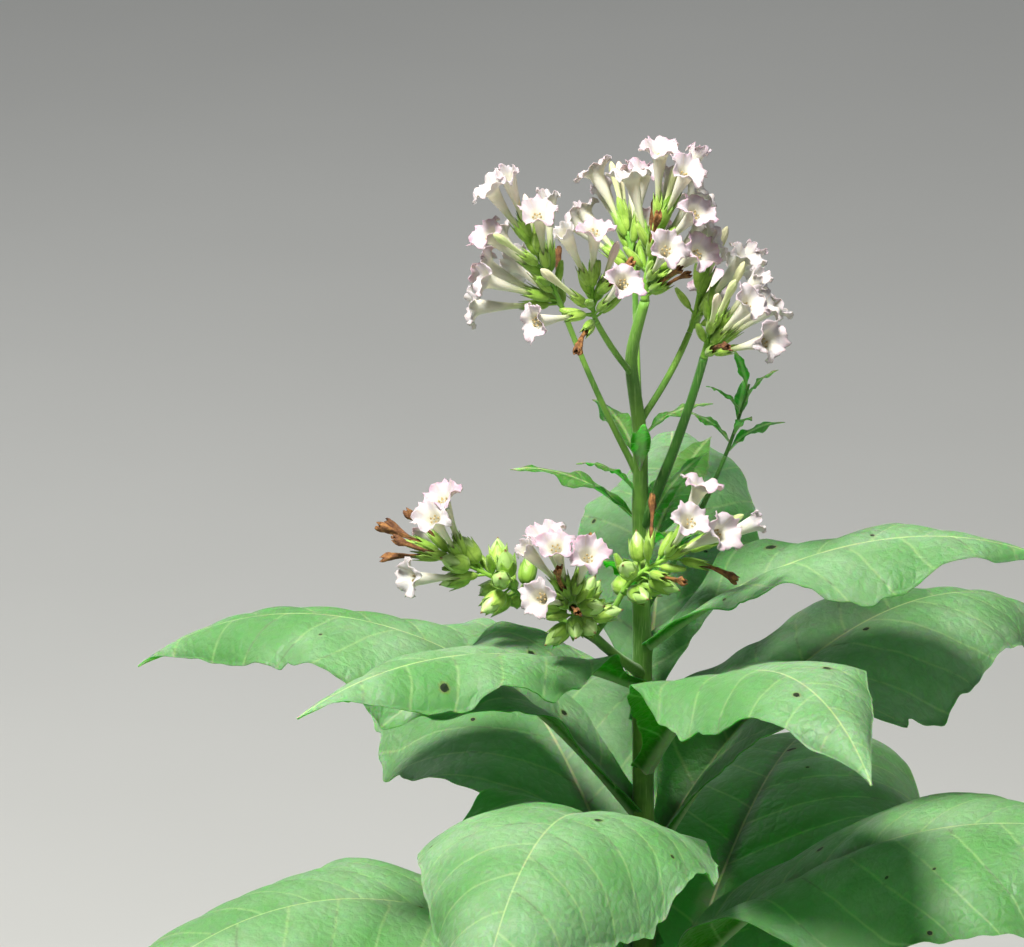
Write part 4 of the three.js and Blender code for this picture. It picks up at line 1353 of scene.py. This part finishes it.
def bud_finish():
    """Pale tube with greener pleats and a tip that is green on some buds and pinkish on others."""
    material, shader, where, (along, _, corner), tint = part_finish("bud skin", 0.5, sheen=0.3)
    tip = painted(0xc9dc8c, (tint, 0xf0d2c8))
    skin = mixed(between(along, 0.034, 0.058), colour(0xdce6a6), tip)
    skin = painted(skin, (between(corner, 0.0, 0.2, 0.35, 0.0), 0xa9bd68))
    coat(shader, skin, cloudy(where, 700.0), 0.0004, 0.5)
    return material


stand_shapes("closed_buds", kinds_of("bud"), [bud_shape], bud_finish(), seed=113, size_spread=0.12)


# Stamens: five tan pollen sacs round the stigma, in the mouth of each open flower. They are dry and
# powdery. The real ones stand on thin threads, which lie too deep in the tube to show.
SAC_RING = 3.1
SAC_HEIGHT = 58.6


def small_bead(centre, radius, length, sides=7):
    share = np.linspace(0.08, 0.92, 5)
    wide = radius * np.sin(math.pi * share)
    rings = [(centre[2] + length * (s - 0.5), w) for s, w in zip(share, wide)]
    points, faces, labels = turned_shape(rings, sides)
    return points + [centre[0], centre[1], 0], faces, labels


stamen_parts = []
for i in range(PETALS):
    spot = 2 * math.pi * (i + 0.5) / PETALS
    centre = (SAC_RING * math.cos(spot), SAC_RING * math.sin(spot), SAC_HEIGHT)
    stamen_parts.append(small_bead(centre, radius=0.85, length=2.8))
stamen_parts.append(small_bead((0.2, 0, SAC_HEIGHT + 1.0), radius=1.0, length=1.8))
stamen_finish, stamen_shader, stamen_where = finish("pollen sac skin", 0.85)
pollen = painted(0x9a8452, (cloudy(stamen_where, 2400.0), 0xcbb884))
coat(stamen_shader, pollen, cloudy(stamen_where, 5200.0), 0.0002, 0.8)
stand_shapes("stamens", open_flowers, [joined(stamen_parts)], stamen_finish, seed=127)


# Withered corollas: spent tubes that have dried to crumpled brown paper, bent and ragged at the
# mouth. They still hang in their calyces.
SHRUNKEN = [
    (20, 1.6), (24, 1.6), (28, 1.4), (32, 1.5), (36, 1.3), (40, 1.6), (44, 1.8), (47, 2.3), (50, 3.0),
    (53, 3.6), (55.5, 3.4), (58, 2.6), (56, 1.8), (52, 1.2), (47, 0.6),
]


def withered_shape(seed, sides=16):
    random = seeded(seed)
    wild = [random() * ANY_TURN for _ in range(6)]
    angle = angles_round(sides)
    rings = []
    for i, (distance, radius) in enumerate(SHRUNKEN):
        late = np.clip((distance - 26) / 32, 0, 1)
        crush = 1 + 0.3 * np.sin(3 * angle + wild[0] + 0.5 * i) + 0.2 * np.sin(5 * angle + wild[1] - 0.8 * i)
        wide = radius * crush
        bend = 5.0 * late**2 * math.cos(wild[2] + 0.9 * late)
        sag = 3.5 * late**2 * math.sin(wild[3])
        ragged = (1.5 * np.sin(4 * angle + wild[4]) + np.sin(7 * angle + wild[5])) * late**3
        across, over = wide * np.cos(angle) + bend, 0.75 * wide * np.sin(angle) + sag
        rings.append(np.stack([across, over, distance + ragged], axis=-1))
    points = np.concatenate([*rings, [[0, 0, 20.0]], [rings[-1].mean(axis=0)]])
    return points, capped_faces(len(rings), sides), np.outer(points[:, 2], [MM, 0, 0])


def withered_finish():
    """Two browns in crumpled patches, darker on some flowers than on others."""
    material, shader, where, _, tint = part_finish("withered petal skin", 0.75)
    patches = between(cloudy(where, 220.0, detail=5.0), 0.35, 0.65)
    dark = between(tint, 0.4, 1.0, 0.0, 0.6)
    skin = painted(0x6d4526, (patches, 0xa9763f), (dark, 0x4d2a1c))
    coat(shader, skin, cloudy(where, 900.0, detail=5.0), 0.001, 0.9)
    return material


withered_shapes = [withered_shape(seed) for seed in (2, 9, 31)]
withered = kinds_of("withered")
stand_shapes("withered_corollas", withered, withered_shapes, withered_finish(), seed=131, size_spread=0.1)


# Seed pods: plump pale green eggs with a fine seam and a short beak, each held in its grown calyx.
# They are firm and faintly glossy, and swell on the spot where the flower withered.
def pod_shape():
    points, faces, labels = turned_shape([
        (11.0, 1.8), (12.4, 4.2), (14.6, 6.1), (17.8, 7.1), (21.4, 7.2), (25.0, 6.6), (28.6, 5.3),
        (31.6, 3.5), (33.8, 1.8), (35.6, 0.8), (36.8, 0.3),
    ], 24)
    aside = np.abs(np.sin(np.arctan2(points[:, 1], points[:, 0])))
    points[:, :2] *= (1 - 0.07 * np.exp(-((aside / 0.12) ** 2)))[:, None]
    labels[:, 1] = np.exp(-((aside / 0.1) ** 2))
    return points, faces, labels


pod_cup = turned_shape([
    (9.6, 1.3), (11.0, 4.4), (13.6, 6.6), (17.2, 7.6, 0.4), (20.4, 7.7, 1.6, 0.1), (22.0, 7.4, 5.0, 0.3),
    (22.4, 7.1, 8.4, 0.5), (22.2, 6.8, 8.1, 0.4), (20.6, 6.9, 2.0), (17.0, 5.6),
], 20)


def pod_finish():
    """Pale green, mottled and greener along the seam, with a brown beak."""
    material, shader, where, (high, seam, _), tint = part_finish("pod skin", 0.4, sheen=0.1)
    skin = painted(
        0xa9cf72,
        (tint, 0xbfdc8c),
        (between(cloudy(where, 260.0, detail=4.0), 0.4, 0.7, 0.0, 0.5), 0x93bd58),
        (maths("*", seam, 0.5), 0x7fa648),
        (between(high, 0.034, 0.036), 0x7a5a30),
    )
    coat(shader, skin, cloudy(where, 500.0), 0.0004, 0.5)
    return material


pods = kinds_of("pod")
stand_shapes("seed_pods", pods, [pod_shape()], pod_finish(), seed=137, size_spread=0.12)
stand_shapes("pod_calyces", pods, [pod_cup], calyx_skin, seed=137, size_spread=0.12)
